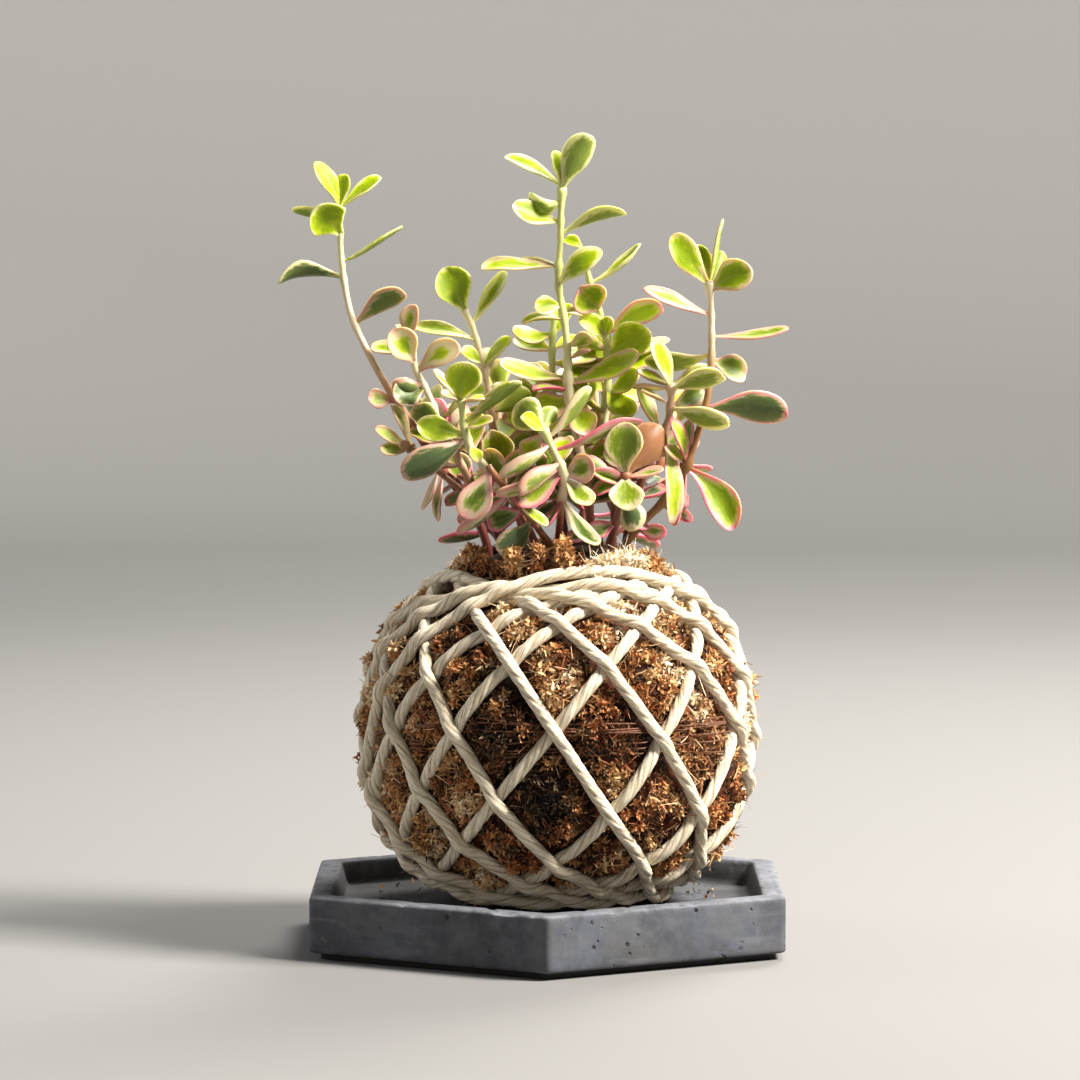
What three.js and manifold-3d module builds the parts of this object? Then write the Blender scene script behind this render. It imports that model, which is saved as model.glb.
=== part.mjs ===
// A kokedama: a leafy succulent whose root ball is wrapped in moss and wound with twisted cord,
// resting on a shallow hexagonal concrete tray. Millimetres, +Z up. The origin is on the surface
// that the tray stands on, under the tray's middle, and one corner of the tray points to -Y, the front.
import * as THREE from "three";
import { mergeVertices } from "three/addons/utils/BufferGeometryUtils.js";
import Module from "manifold-3d";

const wasm = await Module();
wasm.setup();

// Tray
const TRAY_CORNER_RADIUS = 80; // from the middle to a corner, before rounding
const TRAY_APOTHEM = TRAY_CORNER_RADIUS * Math.cos(Math.PI / 6);
const TRAY_ROUND = 3.2;
const TRAY_EDGE = 0.9;
const TRAY_TOP = 18.5;
const TRAY_FLOOR = 11.5;
const TRAY_WALL = 6.6;
const TRAY_SLOPE = 1.5; // how far the inner wall leans in on its way down
const TRAY_FILLET = 1.4;
const FOOT_HEIGHT = 2;
const FOOT_INSET = 3.3;

// Ball, over the cord
const BALL_X = 3;
const BALL_Z = 64;
const BALL_RADIUS = 59.3;
const BALL_UP = 52;
const BALL_DOWN = 54.5;
const ROUNDNESS_UP = 2.35;
const ROUNDNESS_DOWN = 2.5;
const GAP = 0.3;

// Cord: one winding after another, each a great circle of the ball, as [azimuth of its highest
// point in degrees (0 is the front, 90 the right), how high that point stands in degrees].
const CORD = 3.8;
const CORD_LAYER = 0.1; // how much prouder each winding lies than the one before
const WINDINGS = [
  [55, 53], [85, 51], [121, 55], [154, 56], [182, 56], [216, 56],
  [241, 56], [272, 56], [302, 55], [337, 50], [378, 56],
];
const CORD_STEPS = 22;
const CORD_SECTION = [[-2.2, -1.9], [2.2, -1.9], [0, 1.9]]; // across, out

// Moss, soil and thread
const MOSS_INSET = 6.6; // from the outside of the cord to the moss pressed down under it
const MOSS_SWELL = 4.8; // how far the moss stands out again between the windings
const MOSS_CLEAR = 4;
const MOSS_RISE = 5;
const MOSS_THICK = 4.6;
const MOSS_COLUMNS = 51;
const MOUTH_RADIUS = 24.2;
const NECK_RADIUS = 25.9;
const NECK_FOOT = 107.4;
const LIP_RADIUS = 29.2; // the lip hangs a little way over the ring of cords round the mouth
const LIP_FOOT = 111.9;
const LIP_TOP = 117.2;
const LIP_WAVE = 1.6; // how far the lip's top runs up and down
const LIP_IN = 1.8; // and its edge in and out
const LIP_OUT = 1.4;
const LIP_BULGE = 0.8;
const LIP_HANG = 0.6;
const MOUTH_FLARE = 0.3;
const MOUTH_ROUND = 1.2;
const MOUTH_DROP = 1.5; // how far under the soil's top the moss of the mouth begins
const THROAT_DEPTH = 9;
const THROAT_ABOVE = 6;
const LUMP_SHIFT = 0.3; // how far a lump of moss strays round, as a share of a column
const LUMP_TILT = 1.6; // and up and down, in degrees
const LUMP_LEAST = 0.45;
const SOIL_TOP = 113.4;
const SOIL_DEPTH = 9.6; // from the soil's top to the foot of its neck
const SOIL_DROP = 0.8;
const SOIL_CROWN = 0.4;
const SOIL_CROWN_INSET = 3;
const REST_Z = TRAY_FLOOR + GAP;
const THREAD = 0.75;
const THREAD_TURNS = 2;
const THREAD_LOW = 63.4;
const THREAD_HIGH = 71.4;
const THREAD_BAND = 8.2; // how far from the middle of its turns the moss is pressed down
const THREAD_SWAY = 0.8;
const THREAD_STEPS = 30;
const THREAD_LIFT = 0.95;
const THREAD_START = 2.4; // azimuth where the thread begins, in radians

// Shoots
const STEM_FOOT = 104; // how deep the stems reach into the soil
const HOLE_CLEAR = 0.5;
const HOLE_HEIGHT = 30;
const HOLE_BELOW = 1;
const STEM_SIDES = 5;
const STEM_STEP = 13;
const STEM_THIN = 0.85; // a stem's radius at its top
const STEM_THICK = 1.05; // and at the soil, with a little more for each place on its way
const STEM_GROWTH = 0.045;
const STEM_THICK_BACK = 1.3;
const BLADE_THICK = 1.3;
const BLADE_STATIONS = [[0.22, 0.25], [0.6, 0.98], [0.86, 0.84]]; // along, half width share
const BLADE_CUP = 0.32; // how far a blade's edges stand up, as a share of its half width
const ROOT_SUNK = 0.7;
const EYE = new THREE.Vector3(-2.15, -1496.1, 227.6); // the sight point of the seen places below

// Seeded draws, one for each thing that varies, so that the part comes out the same each time.
function drawer(seed) {
  let drawn = seed;
  return (low, high) => {
    drawn = (Math.imul(drawn, 1664525) + 1013904223) >>> 0;
    return low + ((high - low) * drawn) / 4294967296;
  };
}
const drawMoss = drawer(20260);
const drawSoil = drawer(411);
const drawLeaf = drawer(5);

// A closed solid from points and triangles, turned so that its faces point out.
function solidOf(points, triangles) {
  const place = points.flatMap((p) => [p.x, p.y, p.z]);
  const make = (corners) =>
    new wasm.Manifold(
      new wasm.Mesh({
        numProp: 3,
        vertProperties: new Float32Array(place),
        triVerts: new Uint32Array(corners),
      }),
    );
  const solid = make(triangles.flat());
  if (solid.volume() > 0) return solid;
  return make(triangles.flatMap(([a, b, c]) => [a, c, b]));
}

// Rings of points joined one after another. A ring of one point is a tip.
function loft(rings, looped = false) {
  const points = rings.flat();
  const starts = [];
  let count = 0;
  for (const ring of rings) {
    starts.push(count);
    count += ring.length;
  }
  const triangles = [];
  const spans = looped ? rings.length : rings.length - 1;
  for (let i = 0; i < spans; i += 1) {
    const next = (i + 1) % rings.length;
    const [n, m] = [rings[i].length, rings[next].length];
    const [a, b] = [starts[i], starts[next]];
    const sides = Math.max(n, m);
    for (let j = 0; j < sides; j += 1) {
      const k = (j + 1) % sides;
      if (n > 1) triangles.push([a + j, a + k, b + (m > 1 ? k : 0)]);
      if (m > 1) triangles.push([a + (n > 1 ? j : 0), b + k, b + j]);
    }
  }
  if (!looped) {
    const last = starts.length - 1;
    for (let j = 1; j + 1 < rings[0].length; j += 1) triangles.push([0, j + 1, j]);
    for (let j = 1; j + 1 < rings[last].length; j += 1) {
      triangles.push([starts[last], starts[last] + j, starts[last] + j + 1]);
    }
  }
  return solidOf(points, triangles);
}

function joined(solids) {
  let level = solids;
  while (level.length > 1) {
    const next = [];
    for (let i = 0; i < level.length; i += 2) {
      next.push(i + 1 < level.length ? level[i].add(level[i + 1]) : level[i]);
    }
    level = next;
  }
  return level[0];
}

const part = new THREE.Group();
function addNode(name, solid, colour, roughness) {
  const made = solid.getMesh();
  const geometry = new THREE.BufferGeometry();
  geometry.setAttribute("position", new THREE.BufferAttribute(made.vertProperties, 3));
  geometry.setIndex(new THREE.BufferAttribute(made.triVerts, 1));
  const merged = mergeVertices(geometry, 1e-4);
  merged.computeVertexNormals();
  const material = new THREE.MeshStandardMaterial({ color: colour, roughness, metalness: 0 });
  const mesh = new THREE.Mesh(merged, material);
  mesh.name = name;
  part.add(mesh);
}

// Tray: stacked hexagons with rounded corners, out and up, over the rim and down to the floor.
function hexagon(apothem, z) {
  const ring = [];
  const middle = (apothem - TRAY_ROUND) / Math.cos(Math.PI / 6);
  for (let corner = 0; corner < 6; corner += 1) {
    const heading = -Math.PI / 2 + (corner * Math.PI) / 3;
    for (const turn of [-Math.PI / 6, 0, Math.PI / 6]) {
      ring.push(
        new THREE.Vector3(
          middle * Math.cos(heading) + TRAY_ROUND * Math.cos(heading + turn),
          middle * Math.sin(heading) + TRAY_ROUND * Math.sin(heading + turn),
          z,
        ),
      );
    }
  }
  return ring;
}

function traySolid() {
  const inner = TRAY_APOTHEM - TRAY_WALL;
  const low = inner - TRAY_SLOPE;
  return loft([
    hexagon(TRAY_APOTHEM - FOOT_INSET, 0),
    hexagon(TRAY_APOTHEM - FOOT_INSET, FOOT_HEIGHT),
    hexagon(TRAY_APOTHEM - TRAY_EDGE, FOOT_HEIGHT),
    hexagon(TRAY_APOTHEM, FOOT_HEIGHT + TRAY_EDGE),
    hexagon(TRAY_APOTHEM, TRAY_TOP - TRAY_EDGE),
    hexagon(TRAY_APOTHEM - TRAY_EDGE, TRAY_TOP),
    hexagon(inner + TRAY_EDGE / 2, TRAY_TOP),
    hexagon(inner, TRAY_TOP - TRAY_EDGE / 2),
    hexagon(low, TRAY_FLOOR + TRAY_FILLET),
    hexagon(low - TRAY_FILLET, TRAY_FLOOR),
  ]);
}

// The ball's surface: how far it lies from the middle along a direction, less an inset.
function ballReach(direction, inset) {
  const across = Math.hypot(direction.x, direction.y) / (BALL_RADIUS - inset);
  const down = direction.z < 0;
  const tall = Math.abs(direction.z) / ((down ? BALL_DOWN : BALL_UP) - inset);
  const power = down ? ROUNDNESS_DOWN : ROUNDNESS_UP;
  return Math.pow(Math.pow(across, power) + Math.pow(tall, power), -1 / power);
}
const BALL_MIDDLE = new THREE.Vector3(BALL_X, 0, BALL_Z);
function onBall(direction, inset) {
  return direction.clone().multiplyScalar(ballReach(direction, inset)).add(BALL_MIDDLE);
}
function heading(azimuth, elevation) {
  return new THREE.Vector3(
    Math.sin(azimuth) * Math.cos(elevation),
    -Math.cos(azimuth) * Math.cos(elevation),
    Math.sin(elevation),
  );
}

// Cord
const circles = WINDINGS.map(([azimuth, height]) => {
  const toPeak = heading(THREE.MathUtils.degToRad(azimuth), THREE.MathUtils.degToRad(height));
  const toSide = heading(THREE.MathUtils.degToRad(azimuth + 90), 0);
  return { toPeak, toSide, axis: toSide.clone().cross(toPeak) };
});

function windingSolid({ toPeak, toSide, axis }, order) {
  const inset = CORD / 2 - CORD_LAYER * (order - WINDINGS.length / 2);
  const rings = [];
  for (let step = 0; step < CORD_STEPS; step += 1) {
    const turn = (2 * Math.PI * (step + (order % 3) / 3)) / CORD_STEPS;
    const out = toPeak.clone().multiplyScalar(Math.cos(turn));
    out.addScaledVector(toSide, Math.sin(turn));
    const middle = onBall(out, inset);
    rings.push(
      CORD_SECTION.map(([across, up]) =>
        middle.clone().addScaledVector(axis, across).addScaledVector(out, up),
      ),
    );
  }
  return loft(rings, true);
}

// Moss: pressed down under the windings and the thread, and swelling out between them.
function mossInset(direction, lump) {
  let nearest = Infinity;
  for (const { axis } of circles) {
    nearest = Math.min(nearest, Math.abs(Math.asin(direction.dot(axis))));
  }
  const fromCord = nearest * (BALL_RADIUS - CORD) - MOSS_CLEAR;
  const z = BALL_Z + direction.z * BALL_RADIUS;
  const fromThread = Math.abs(z - (THREAD_LOW + THREAD_HIGH) / 2) - THREAD_BAND;
  const open = Math.min(fromCord, fromThread) / MOSS_RISE;
  return MOSS_INSET - MOSS_SWELL * lump * Math.min(Math.max(open, 0), 1);
}

// The shell's section at one azimuth: mouth, lip, outside down to the flat spot, and back inside.
const OUTSIDE = [50, 43, 36, 29, 22, 15, 8, 1, -6, -13, -20, -27, -34, -41, -49, -58, -68];
const INSIDE = [-60, -35, -8, 18, 42];
const SOIL_SIDES = MOSS_COLUMNS / 3;
function mossSolid() {
  const columns = [];
  for (let column = 0; column < MOSS_COLUMNS; column += 1) {
    const azimuth = (2 * Math.PI * column) / MOSS_COLUMNS;
    const side = heading(azimuth, 0);
    const at = (radius, z) => side.clone().multiplyScalar(radius).setZ(z).setX(side.x * radius + BALL_X);
    const lip = LIP_TOP + drawMoss(-LIP_WAVE, LIP_WAVE);
    const edge = LIP_RADIUS + drawMoss(-LIP_IN, LIP_OUT);
    const points = [
      at(MOUTH_RADIUS, SOIL_TOP - MOUTH_DROP),
      at(MOUTH_RADIUS + MOUTH_FLARE, lip - MOUTH_ROUND),
      at((MOUTH_RADIUS + edge) / 2 + drawMoss(-LIP_BULGE, LIP_BULGE), lip),
      at(edge, (lip + LIP_FOOT) / 2 + drawMoss(-LIP_BULGE, 1)),
      at(NECK_RADIUS + LIP_HANG, LIP_FOOT),
      at(NECK_RADIUS, NECK_FOOT),
    ];
    for (const degrees of OUTSIDE) {
      const shift = drawMoss(-LUMP_SHIFT, LUMP_SHIFT);
      const lump = drawMoss(LUMP_LEAST, 1);
      const direction = heading(
        azimuth + (shift * 2 * Math.PI) / MOSS_COLUMNS,
        THREE.MathUtils.degToRad(degrees + drawMoss(-LUMP_TILT, LUMP_TILT)),
      );
      const point = onBall(direction, mossInset(direction, lump));
      point.z = Math.max(point.z, REST_Z);
      points.push(point);
    }
    columns.push(points);
  }
  const bottom = new THREE.Vector3(BALL_X, 0, REST_Z);
  const stations = columns[0].length;
  const rings = [];
  for (let station = 0; station < stations; station += 1) {
    rings.push(columns.map((column) => column[station]));
  }
  const outside = loft([...rings, [bottom]]);
  const hollow = INSIDE.map((degrees) => {
    const ring = [];
    for (let column = 0; column < SOIL_SIDES; column += 1) {
      const azimuth = (2 * Math.PI * column) / SOIL_SIDES;
      const direction = heading(azimuth, THREE.MathUtils.degToRad(degrees));
      ring.push(onBall(direction, MOSS_INSET + MOSS_THICK));
    }
    return ring;
  });
  const throat = [SOIL_TOP - THROAT_DEPTH, LIP_TOP + THROAT_ABOVE].map((z) => {
    const ring = [];
    for (let column = 0; column < SOIL_SIDES; column += 1) {
      const side = heading((2 * Math.PI * column) / SOIL_SIDES, 0);
      ring.push(new THREE.Vector3(BALL_X + side.x * MOUTH_RADIUS, side.y * MOUTH_RADIUS, z));
    }
    return ring;
  });
  return outside.subtract(loft([...hollow, ...throat]));
}

// Soil: the root ball inside the moss, with a plain hole for each stem.
function soilRing(radiusOf, z) {
  const ring = [];
  for (let column = 0; column < SOIL_SIDES; column += 1) {
    const side = heading((2 * Math.PI * column) / SOIL_SIDES, 0);
    const radius = radiusOf(column);
    ring.push(new THREE.Vector3(BALL_X + side.x * radius, side.y * radius, z));
  }
  return ring;
}
function soilSolid(stemFeet) {
  const body = INSIDE.map((degrees) => {
    const direction = heading(0, THREE.MathUtils.degToRad(degrees));
    const edge = onBall(direction, MOSS_INSET + MOSS_THICK + 2 * GAP);
    return soilRing(() => -edge.y, edge.z);
  });
  const neck = MOUTH_RADIUS - 2 * GAP;
  let soil = loft([
    ...body,
    soilRing(() => neck, SOIL_TOP - SOIL_DEPTH),
    soilRing(() => neck, SOIL_TOP - SOIL_DROP),
    soilRing(() => neck - SOIL_CROWN_INSET + drawSoil(-1, 1), SOIL_TOP + SOIL_CROWN),
    soilRing(() => neck / 2, SOIL_TOP),
  ]);
  for (const { x, y, radius } of stemFeet) {
    const hole = new THREE.CylinderGeometry(radius, radius, HOLE_HEIGHT, STEM_SIDES).toNonIndexed();
    hole.deleteAttribute("normal");
    hole.deleteAttribute("uv");
    hole.rotateX(Math.PI / 2);
    hole.translate(x, y, STEM_FOOT - HOLE_BELOW + HOLE_HEIGHT / 2);
    const shell = mergeVertices(hole, 1e-4);
    const place = shell.attributes.position;
    const points = [];
    for (let i = 0; i < place.count; i += 1) {
      points.push(new THREE.Vector3().fromBufferAttribute(place, i));
    }
    const corners = [];
    for (let i = 0; i < shell.index.count; i += 3) {
      corners.push([shell.index.getX(i), shell.index.getX(i + 1), shell.index.getX(i + 2)]);
    }
    soil = soil.subtract(solidOf(points, corners));
  }
  return soil;
}

// Binding thread: a few turns round the middle, on the moss and under the cord.
function threadSolid() {
  const rings = [];
  const steps = THREAD_STEPS * THREAD_TURNS;
  for (let step = 0; step <= steps; step += 1) {
    const share = step / steps;
    const azimuth = 2 * Math.PI * THREAD_TURNS * share + THREAD_START;
    const z = THREAD_LOW + (THREAD_HIGH - THREAD_LOW) * share + THREAD_SWAY * Math.sin(2 * azimuth);
    const direction = heading(azimuth, Math.asin((z - BALL_Z) / BALL_RADIUS));
    const middle = onBall(direction, mossInset(direction, 1) - THREAD_LIFT);
    const side = heading(azimuth, 0);
    const half = THREAD / 2;
    rings.push([
      middle.clone().addScaledVector(side, -half),
      middle.clone().setZ(middle.z + half),
      middle.clone().addScaledVector(side, half),
      middle.clone().setZ(middle.z - half),
    ]);
  }
  return loft(rings);
}

// A place seen from the front on the plane y = 0, pushed along the line of sight to its depth.
function seen(x, z, depth) {
  const share = (depth - EYE.y) / (0 - EYE.y);
  return new THREE.Vector3(
    EYE.x + (x - EYE.x) * share,
    depth,
    EYE.z + (z - EYE.z) * share,
  );
}

// A blade from its root to its tip: a narrow stalk that widens to a spoon, cupped and arched.
function bladeSolid(root, tip, normal, width, arch) {
  const along = tip.clone().sub(root);
  const length = along.length();
  along.normalize();
  const across = along.clone().cross(normal).normalize();
  const rings = BLADE_STATIONS.map(([share, spread], index) => {
    const middle = root.clone().addScaledVector(along, share * length);
    middle.addScaledVector(normal, 4 * arch * share * (1 - share));
    const half = (spread * width) / 2;
    const lift = BLADE_CUP * half;
    const thick = (BLADE_THICK / 2) * (index === 2 ? 0.8 : 1);
    return [
      middle.clone().addScaledVector(across, -half).addScaledVector(normal, lift),
      middle.clone().addScaledVector(normal, thick),
      middle.clone().addScaledVector(across, half).addScaledVector(normal, lift),
      middle.clone().addScaledVector(normal, -thick),
    ];
  });
  const start = root.clone().addScaledVector(along, -ROOT_SUNK);
  return loft([[start], ...rings, [tip.clone().addScaledVector(normal, (BLADE_CUP * width) / 8)]]);
}

// The direction that a blade's upper face looks in: 0 turns it to the front, 90 up, 180 back.
const TO_FRONT = new THREE.Vector3(0, -1, 0);
function faceNormal(root, tip, degrees) {
  const along = tip.clone().sub(root).normalize();
  const front = TO_FRONT.clone().addScaledVector(along, -TO_FRONT.dot(along)).normalize();
  const up = along.clone().cross(front).multiplyScalar(along.x > 0 ? -1 : 1);
  const angle = THREE.MathUtils.degToRad(degrees);
  return front.multiplyScalar(Math.cos(angle)).addScaledVector(up, Math.sin(angle));
}

function stemCurve(places) {
  return new THREE.CatmullRomCurve3(places, false, "centripetal");
}
function stemSolid(curve, thick, thin) {
  const steps = Math.max(5, Math.round(curve.getLength() / STEM_STEP));
  const rings = [];
  for (let step = 0; step <= steps; step += 1) {
    const share = step / steps;
    const middle = curve.getPointAt(share);
    const along = curve.getTangentAt(share);
    const side = new THREE.Vector3(0, 1, 0).cross(along).normalize();
    const front = along.clone().cross(side);
    const radius = thick + (thin - thick) * share;
    const ring = [];
    for (let corner = 0; corner < STEM_SIDES; corner += 1) {
      const turn = (2 * Math.PI * corner) / STEM_SIDES;
      ring.push(
        middle
          .clone()
          .addScaledVector(side, radius * Math.cos(turn))
          .addScaledVector(front, radius * Math.sin(turn)),
      );
    }
    rings.push(ring);
  }
  return loft(rings);
}

// The place on a stem that looks nearest to a seen root.
function rootOn(curve, x, z) {
  let best = null;
  let least = Infinity;
  for (let i = 0; i <= 120; i += 1) {
    const place = curve.getPointAt(i / 120);
    const share = (0 - EYE.y) / (place.y - EYE.y);
    const away = Math.hypot(
      EYE.x + (place.x - EYE.x) * share - x,
      EYE.z + (place.z - EYE.z) * share - z,
    );
    if (away < least) {
      least = away;
      best = place;
    }
  }
  return best;
}

// Front shoots. Stem: [x, z, depth] from the soil up, seen from the front, its first place the
// depth and side where it stands. Leaves: [root x, root z, tip x, tip z, how much further off the
// tip is than the root, face angle, width, arch].
const SHOOTS = [
  {
    name: "shoot_left_tall",
    stem: [[-17.5, 116, 2], [-20.5, 125, 0], [-27, 135, -4], [-33, 143, -7], [-40.3, 154, -9],
      [-48, 166, -10], [-53.5, 176, -10], [-58, 186, -9], [-60.1, 196, -8], [-61.2, 206, -8],
      [-61.4, 218, -9]],
    leaves: [
      [-61.6, 219.5, -69.2, 231.4, -3, 45, 6.5, 0.8], [-61.2, 219, -59.9, 228, 2, 20, 5, 0.3],
      [-60.8, 218.6, -49.1, 227, 4, 55, 6, 0.6], [-62.5, 219.5, -75.4, 217.2, 5, 115, 6, -1.5],
      [-61.5, 210.5, -68.5, 218, -10, 0, 11.5, 0.3], [-60.8, 202.3, -43, 213, 3, 88, 6.5, -0.8],
      [-61.2, 197, -80, 197, -4, 130, 8, -5], [-56.5, 183.3, -42.8, 192.3, -5, 150, 9, 1],
      [-45.2, 160.5, -53.3, 161.8, -4, 25, 6, -1.5], [-38.4, 153.4, -26.4, 158.7, 7, 150, 5.5, -0.5],
      [-32, 141.5, -36.6, 128.2, -3, 60, 3.6, -0.6], [-31, 140.5, -33, 125.3, -6, 55, 4, -0.6],
    ],
  },
  {
    name: "shoot_left_middle",
    stem: [[-6, 116, 6], [-8, 125, 7], [-12.5, 138, 8], [-16, 152, 9], [-17.4, 163.7, 9],
      [-20, 175, 8], [-22.3, 183, 7], [-24.6, 188, 6]],
    leaves: [
      [-24.4, 187.4, -30.6, 200.4, -2, 10, 11, 0.5], [-24, 188.4, -23.4, 198, 5, 60, 8, 0.3],
      [-22.4, 183.2, -11.8, 198.8, 2, 45, 7, -1], [-22, 178.3, -39.6, 181.8, -3, 60, 7, 1.2],
      [-19.6, 171.5, -25.8, 175.7, -7, 15, 6, 0.4], [-19.4, 171.5, -11.2, 179.2, -5, 25, 7.5, 0.4],
      [-18.6, 170, -16, 176, 9, 150, 6, 0.3], [-13.3, 141.5, -16.6, 151.8, -9, 0, 9.5, 0.5],
    ],
  },
  {
    name: "shoot_left_cluster",
    stem: [[-13, 116, -9], [-17, 126, -11], [-24.5, 140, -13], [-30.5, 152, -13],
      [-35.1, 162.5, -13], [-38.9, 170, -13], [-40.2, 178, -13]],
    leaves: [
      [-40.2, 179, -39.7, 189.6, 1, 25, 6, 0.4], [-41, 177.5, -44.9, 183.5, 3, 50, 3.2, 0.3],
      [-40.4, 175.5, -52.4, 176.9, -1, 50, 5.5, -0.8], [-39.6, 171.5, -48.9, 173.4, -7, 10, 8.5, 0.3],
      [-38.3, 169.8, -25.8, 177.3, -3, 25, 8, 0.8], [-36.3, 167, -46.2, 165.3, -4, 150, 6, -2],
      [-36, 165, -44.4, 160.6, -7, 160, 6, -0.8], [-30.5, 152, -38, 158.5, 5, 150, 6, -1],
      [-27.5, 147, -21, 157, 4, 150, 6, -0.8],
    ],
  },
  {
    name: "shoot_left_low",
    stem: [[-10, 116, -13], [-15, 124, -15], [-25, 134, -17], [-33.5, 141, -18], [-40.6, 147, -18]],
    leaves: [
      [-42, 148.5, -50.8, 153.3, -2, 40, 4.2, -0.4], [-41.5, 148.8, -46.4, 160, 1, 50, 4.5, 0.6],
      [-41, 147, -49.6, 145.7, -4, 50, 5.5, -0.6], [-40.9, 147.5, -44, 148.5, -5, 0, 3, 0.2],
    ],
  },
  {
    name: "shoot_front_left",
    stem: [[-3, 116, -17], [-6, 124, -19], [-12, 134, -21], [-18.5, 141.5, -22],
      [-22.6, 146.5, -22], [-24.6, 153, -22], [-25.6, 161, -22]],
    leaves: [
      [-25.8, 162, -23.5, 172.5, -4, 5, 10.5, 0.4], [-26, 162.5, -34.2, 169.8, 1, 60, 4, -0.4],
      [-25.6, 160.5, -31.5, 163, -5, 70, 4, 0.3], [-25.4, 161, -18.6, 161.8, -4, 80, 4.5, -0.3],
      [-24.5, 150.5, -38.6, 154.2, -3, 5, 7.5, -1], [-24.4, 149.2, -43.3, 139, -5, 155, 9.5, -2],
      [-24.6, 153.5, -16.3, 155.7, -5, 55, 4.5, -0.6], [-24.2, 154.5, -8, 167.4, -2, 130, 6.5, -1],
      [-23, 147.5, -20.5, 142.5, -4, 30, 4, 0.3],
    ],
  },
  {
    name: "shoot_front_low",
    stem: [[2, 116, -19], [-2, 122, -22], [-8, 130, -25], [-15, 138, -27], [-17.5, 141.5, -28]],
    leaves: [
      [-17, 141, -25, 126.3, -3, 5, 9.5, -1], [-12, 135, -26.9, 120.4, -2, 110, 6.5, -1.5],
      [-10.5, 132.5, -13.8, 117.5, -3, 150, 4.5, -0.5],
    ],
  },
  {
    name: "shoot_front_centre",
    stem: [[3, 116, -11], [3.6, 123, -14], [4.2, 131, -18], [5, 138.6, -21], [3.4, 143, -23],
      [1, 147.8, -24], [-1.2, 152.5, -25]],
    leaves: [
      [-1, 152, -9.8, 159.6, 3, 165, 10.5, -1], [-0.8, 152, -8.2, 156, -5, 45, 5.5, 0.5],
      [-1, 152.5, 2.8, 159, 5, 165, 6, 0.3], [1, 148, 12.4, 164.5, 4, 125, 5, -1],
      [1, 147.8, -14.5, 132.3, -10, 140, 6.5, -3], [4.6, 141, -12.2, 130.8, -12, 150, 9.5, -2.5],
      [4.2, 132, -0.2, 123.4, -7, 60, 4, -0.5], [5, 139, 14, 142, -3, 10, 8.5, -0.8],
      [4.9, 137.8, 13.6, 131, -6, 30, 6, -0.6], [4.4, 132.5, 15, 117.5, -11, 30, 5.5, -1.5],
      [4.6, 141, 28, 156.4, 14, 100, 6, -1.5],
    ],
  },
  {
    name: "shoot_centre_tall",
    stem: [[14, 116, 1], [13, 124, 1], [11.5, 137, 2], [9, 150, 2], [6.8, 160, 2], [6.1, 168, 2],
      [5.8, 178, 2], [4.6, 187, 2], [3.2, 196, 2], [3.8, 208, 2], [4, 216, 2], [4.3, 224, 2]],
    leaves: [
      [4.4, 223, 12.4, 239.8, -4, 165, 8.8, -0.8], [4, 224, -12.6, 233.2, 3, 50, 5.5, 0.6],
      [4.2, 223.5, 2.2, 234.9, -2, 20, 4.6, 0.2], [4.6, 222, 5.4, 234, 4, 40, 3, 0.2],
      [4.1, 219.5, -5.4, 219, 6, 150, 9, -4], [3.9, 213.5, -10.3, 218.9, -3, 35, 7.5, -1.5],
      [3.8, 210.3, 23.2, 216.8, -5, 125, 7, 2.5], [3.2, 200.6, -19.5, 201, -2, 60, 7, -1],
      [3.2, 200.8, -7.2, 202.5, 7, 95, 5, 0.5], [3.4, 194.5, 16, 205.6, -4, 20, 7, 2],
      [3.6, 189, -4.2, 188.7, -4, 15, 5.5, 0.5], [4.6, 186.5, 10.6, 186.7, 4, 45, 3.5, 0.3],
      [6, 168.5, -15, 171, -3, 45, 7, -1.5], [6.4, 166, 27.8, 174.3, -6, 40, 8, -1],
      [6, 176.5, 13.3, 179.6, -5, 150, 5, 0.2], [6, 173, 13, 175.8, -2, 85, 3.5, 0.5],
      [6.3, 167.5, -3, 165.6, 5, 150, 5, 0.2], [7, 162, -4.6, 164.4, -6, -25, 6.5, 0.6],
    ],
  },
  {
    name: "shoot_centre_behind",
    stem: [[6, 116, 11], [4, 130, 13], [2, 150, 14], [1.6, 165, 14], [1.4, 176, 13], [2, 186, 12]],
    leaves: [
      [1.8, 181.5, -10.4, 181, -5, 50, 7.5, -2.5], [1.5, 176, 9, 180, 6, 60, 5, 0.3],
      [1.8, 168, -8, 172, 6, 60, 6, -0.6], [2, 160, 10, 164, 7, 60, 6, -0.6],
      [2, 185, -1, 192, 5, 60, 5, 0.3],
    ],
  },
  {
    name: "shoot_right_of_centre",
    stem: [[19, 116, 8], [20, 126, 9], [18.6, 142, 11], [16.9, 154, 12], [17.4, 160, 12],
      [18.1, 171, 12], [17.6, 180, 11], [15.5, 187, 10], [12.5, 196.5, 9], [10.4, 206, 9]],
    leaves: [
      [10.5, 206, 5.2, 208.8, 3, 30, 4, 0.2], [13, 196, 28.2, 206.8, 2, 75, 6, -1.2],
      [15.2, 187.4, 9.5, 195, -8, 0, 10.5, 0.5], [17.7, 179, 9.6, 185.6, -4, 25, 6, 0.4],
      [17.6, 180, 18.8, 186, -3, 30, 4.5, 0.3], [17.7, 181, 34.6, 188.4, -3, 30, 8, 0.8],
      [18, 174, 30.7, 181.4, -7, 10, 10.5, 0.5], [17.9, 175.5, 9.6, 179.2, -7, 150, 5, 0.2],
      [18, 172.5, 7, 171.8, 4, 60, 5, -0.6], [17.6, 165, 25, 156, -9, 20, 8, -1],
      [17.2, 159, 9, 152, -5, 15, 7, -0.8],
    ],
  },
  {
    name: "shoot_right_rosette",
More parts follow.
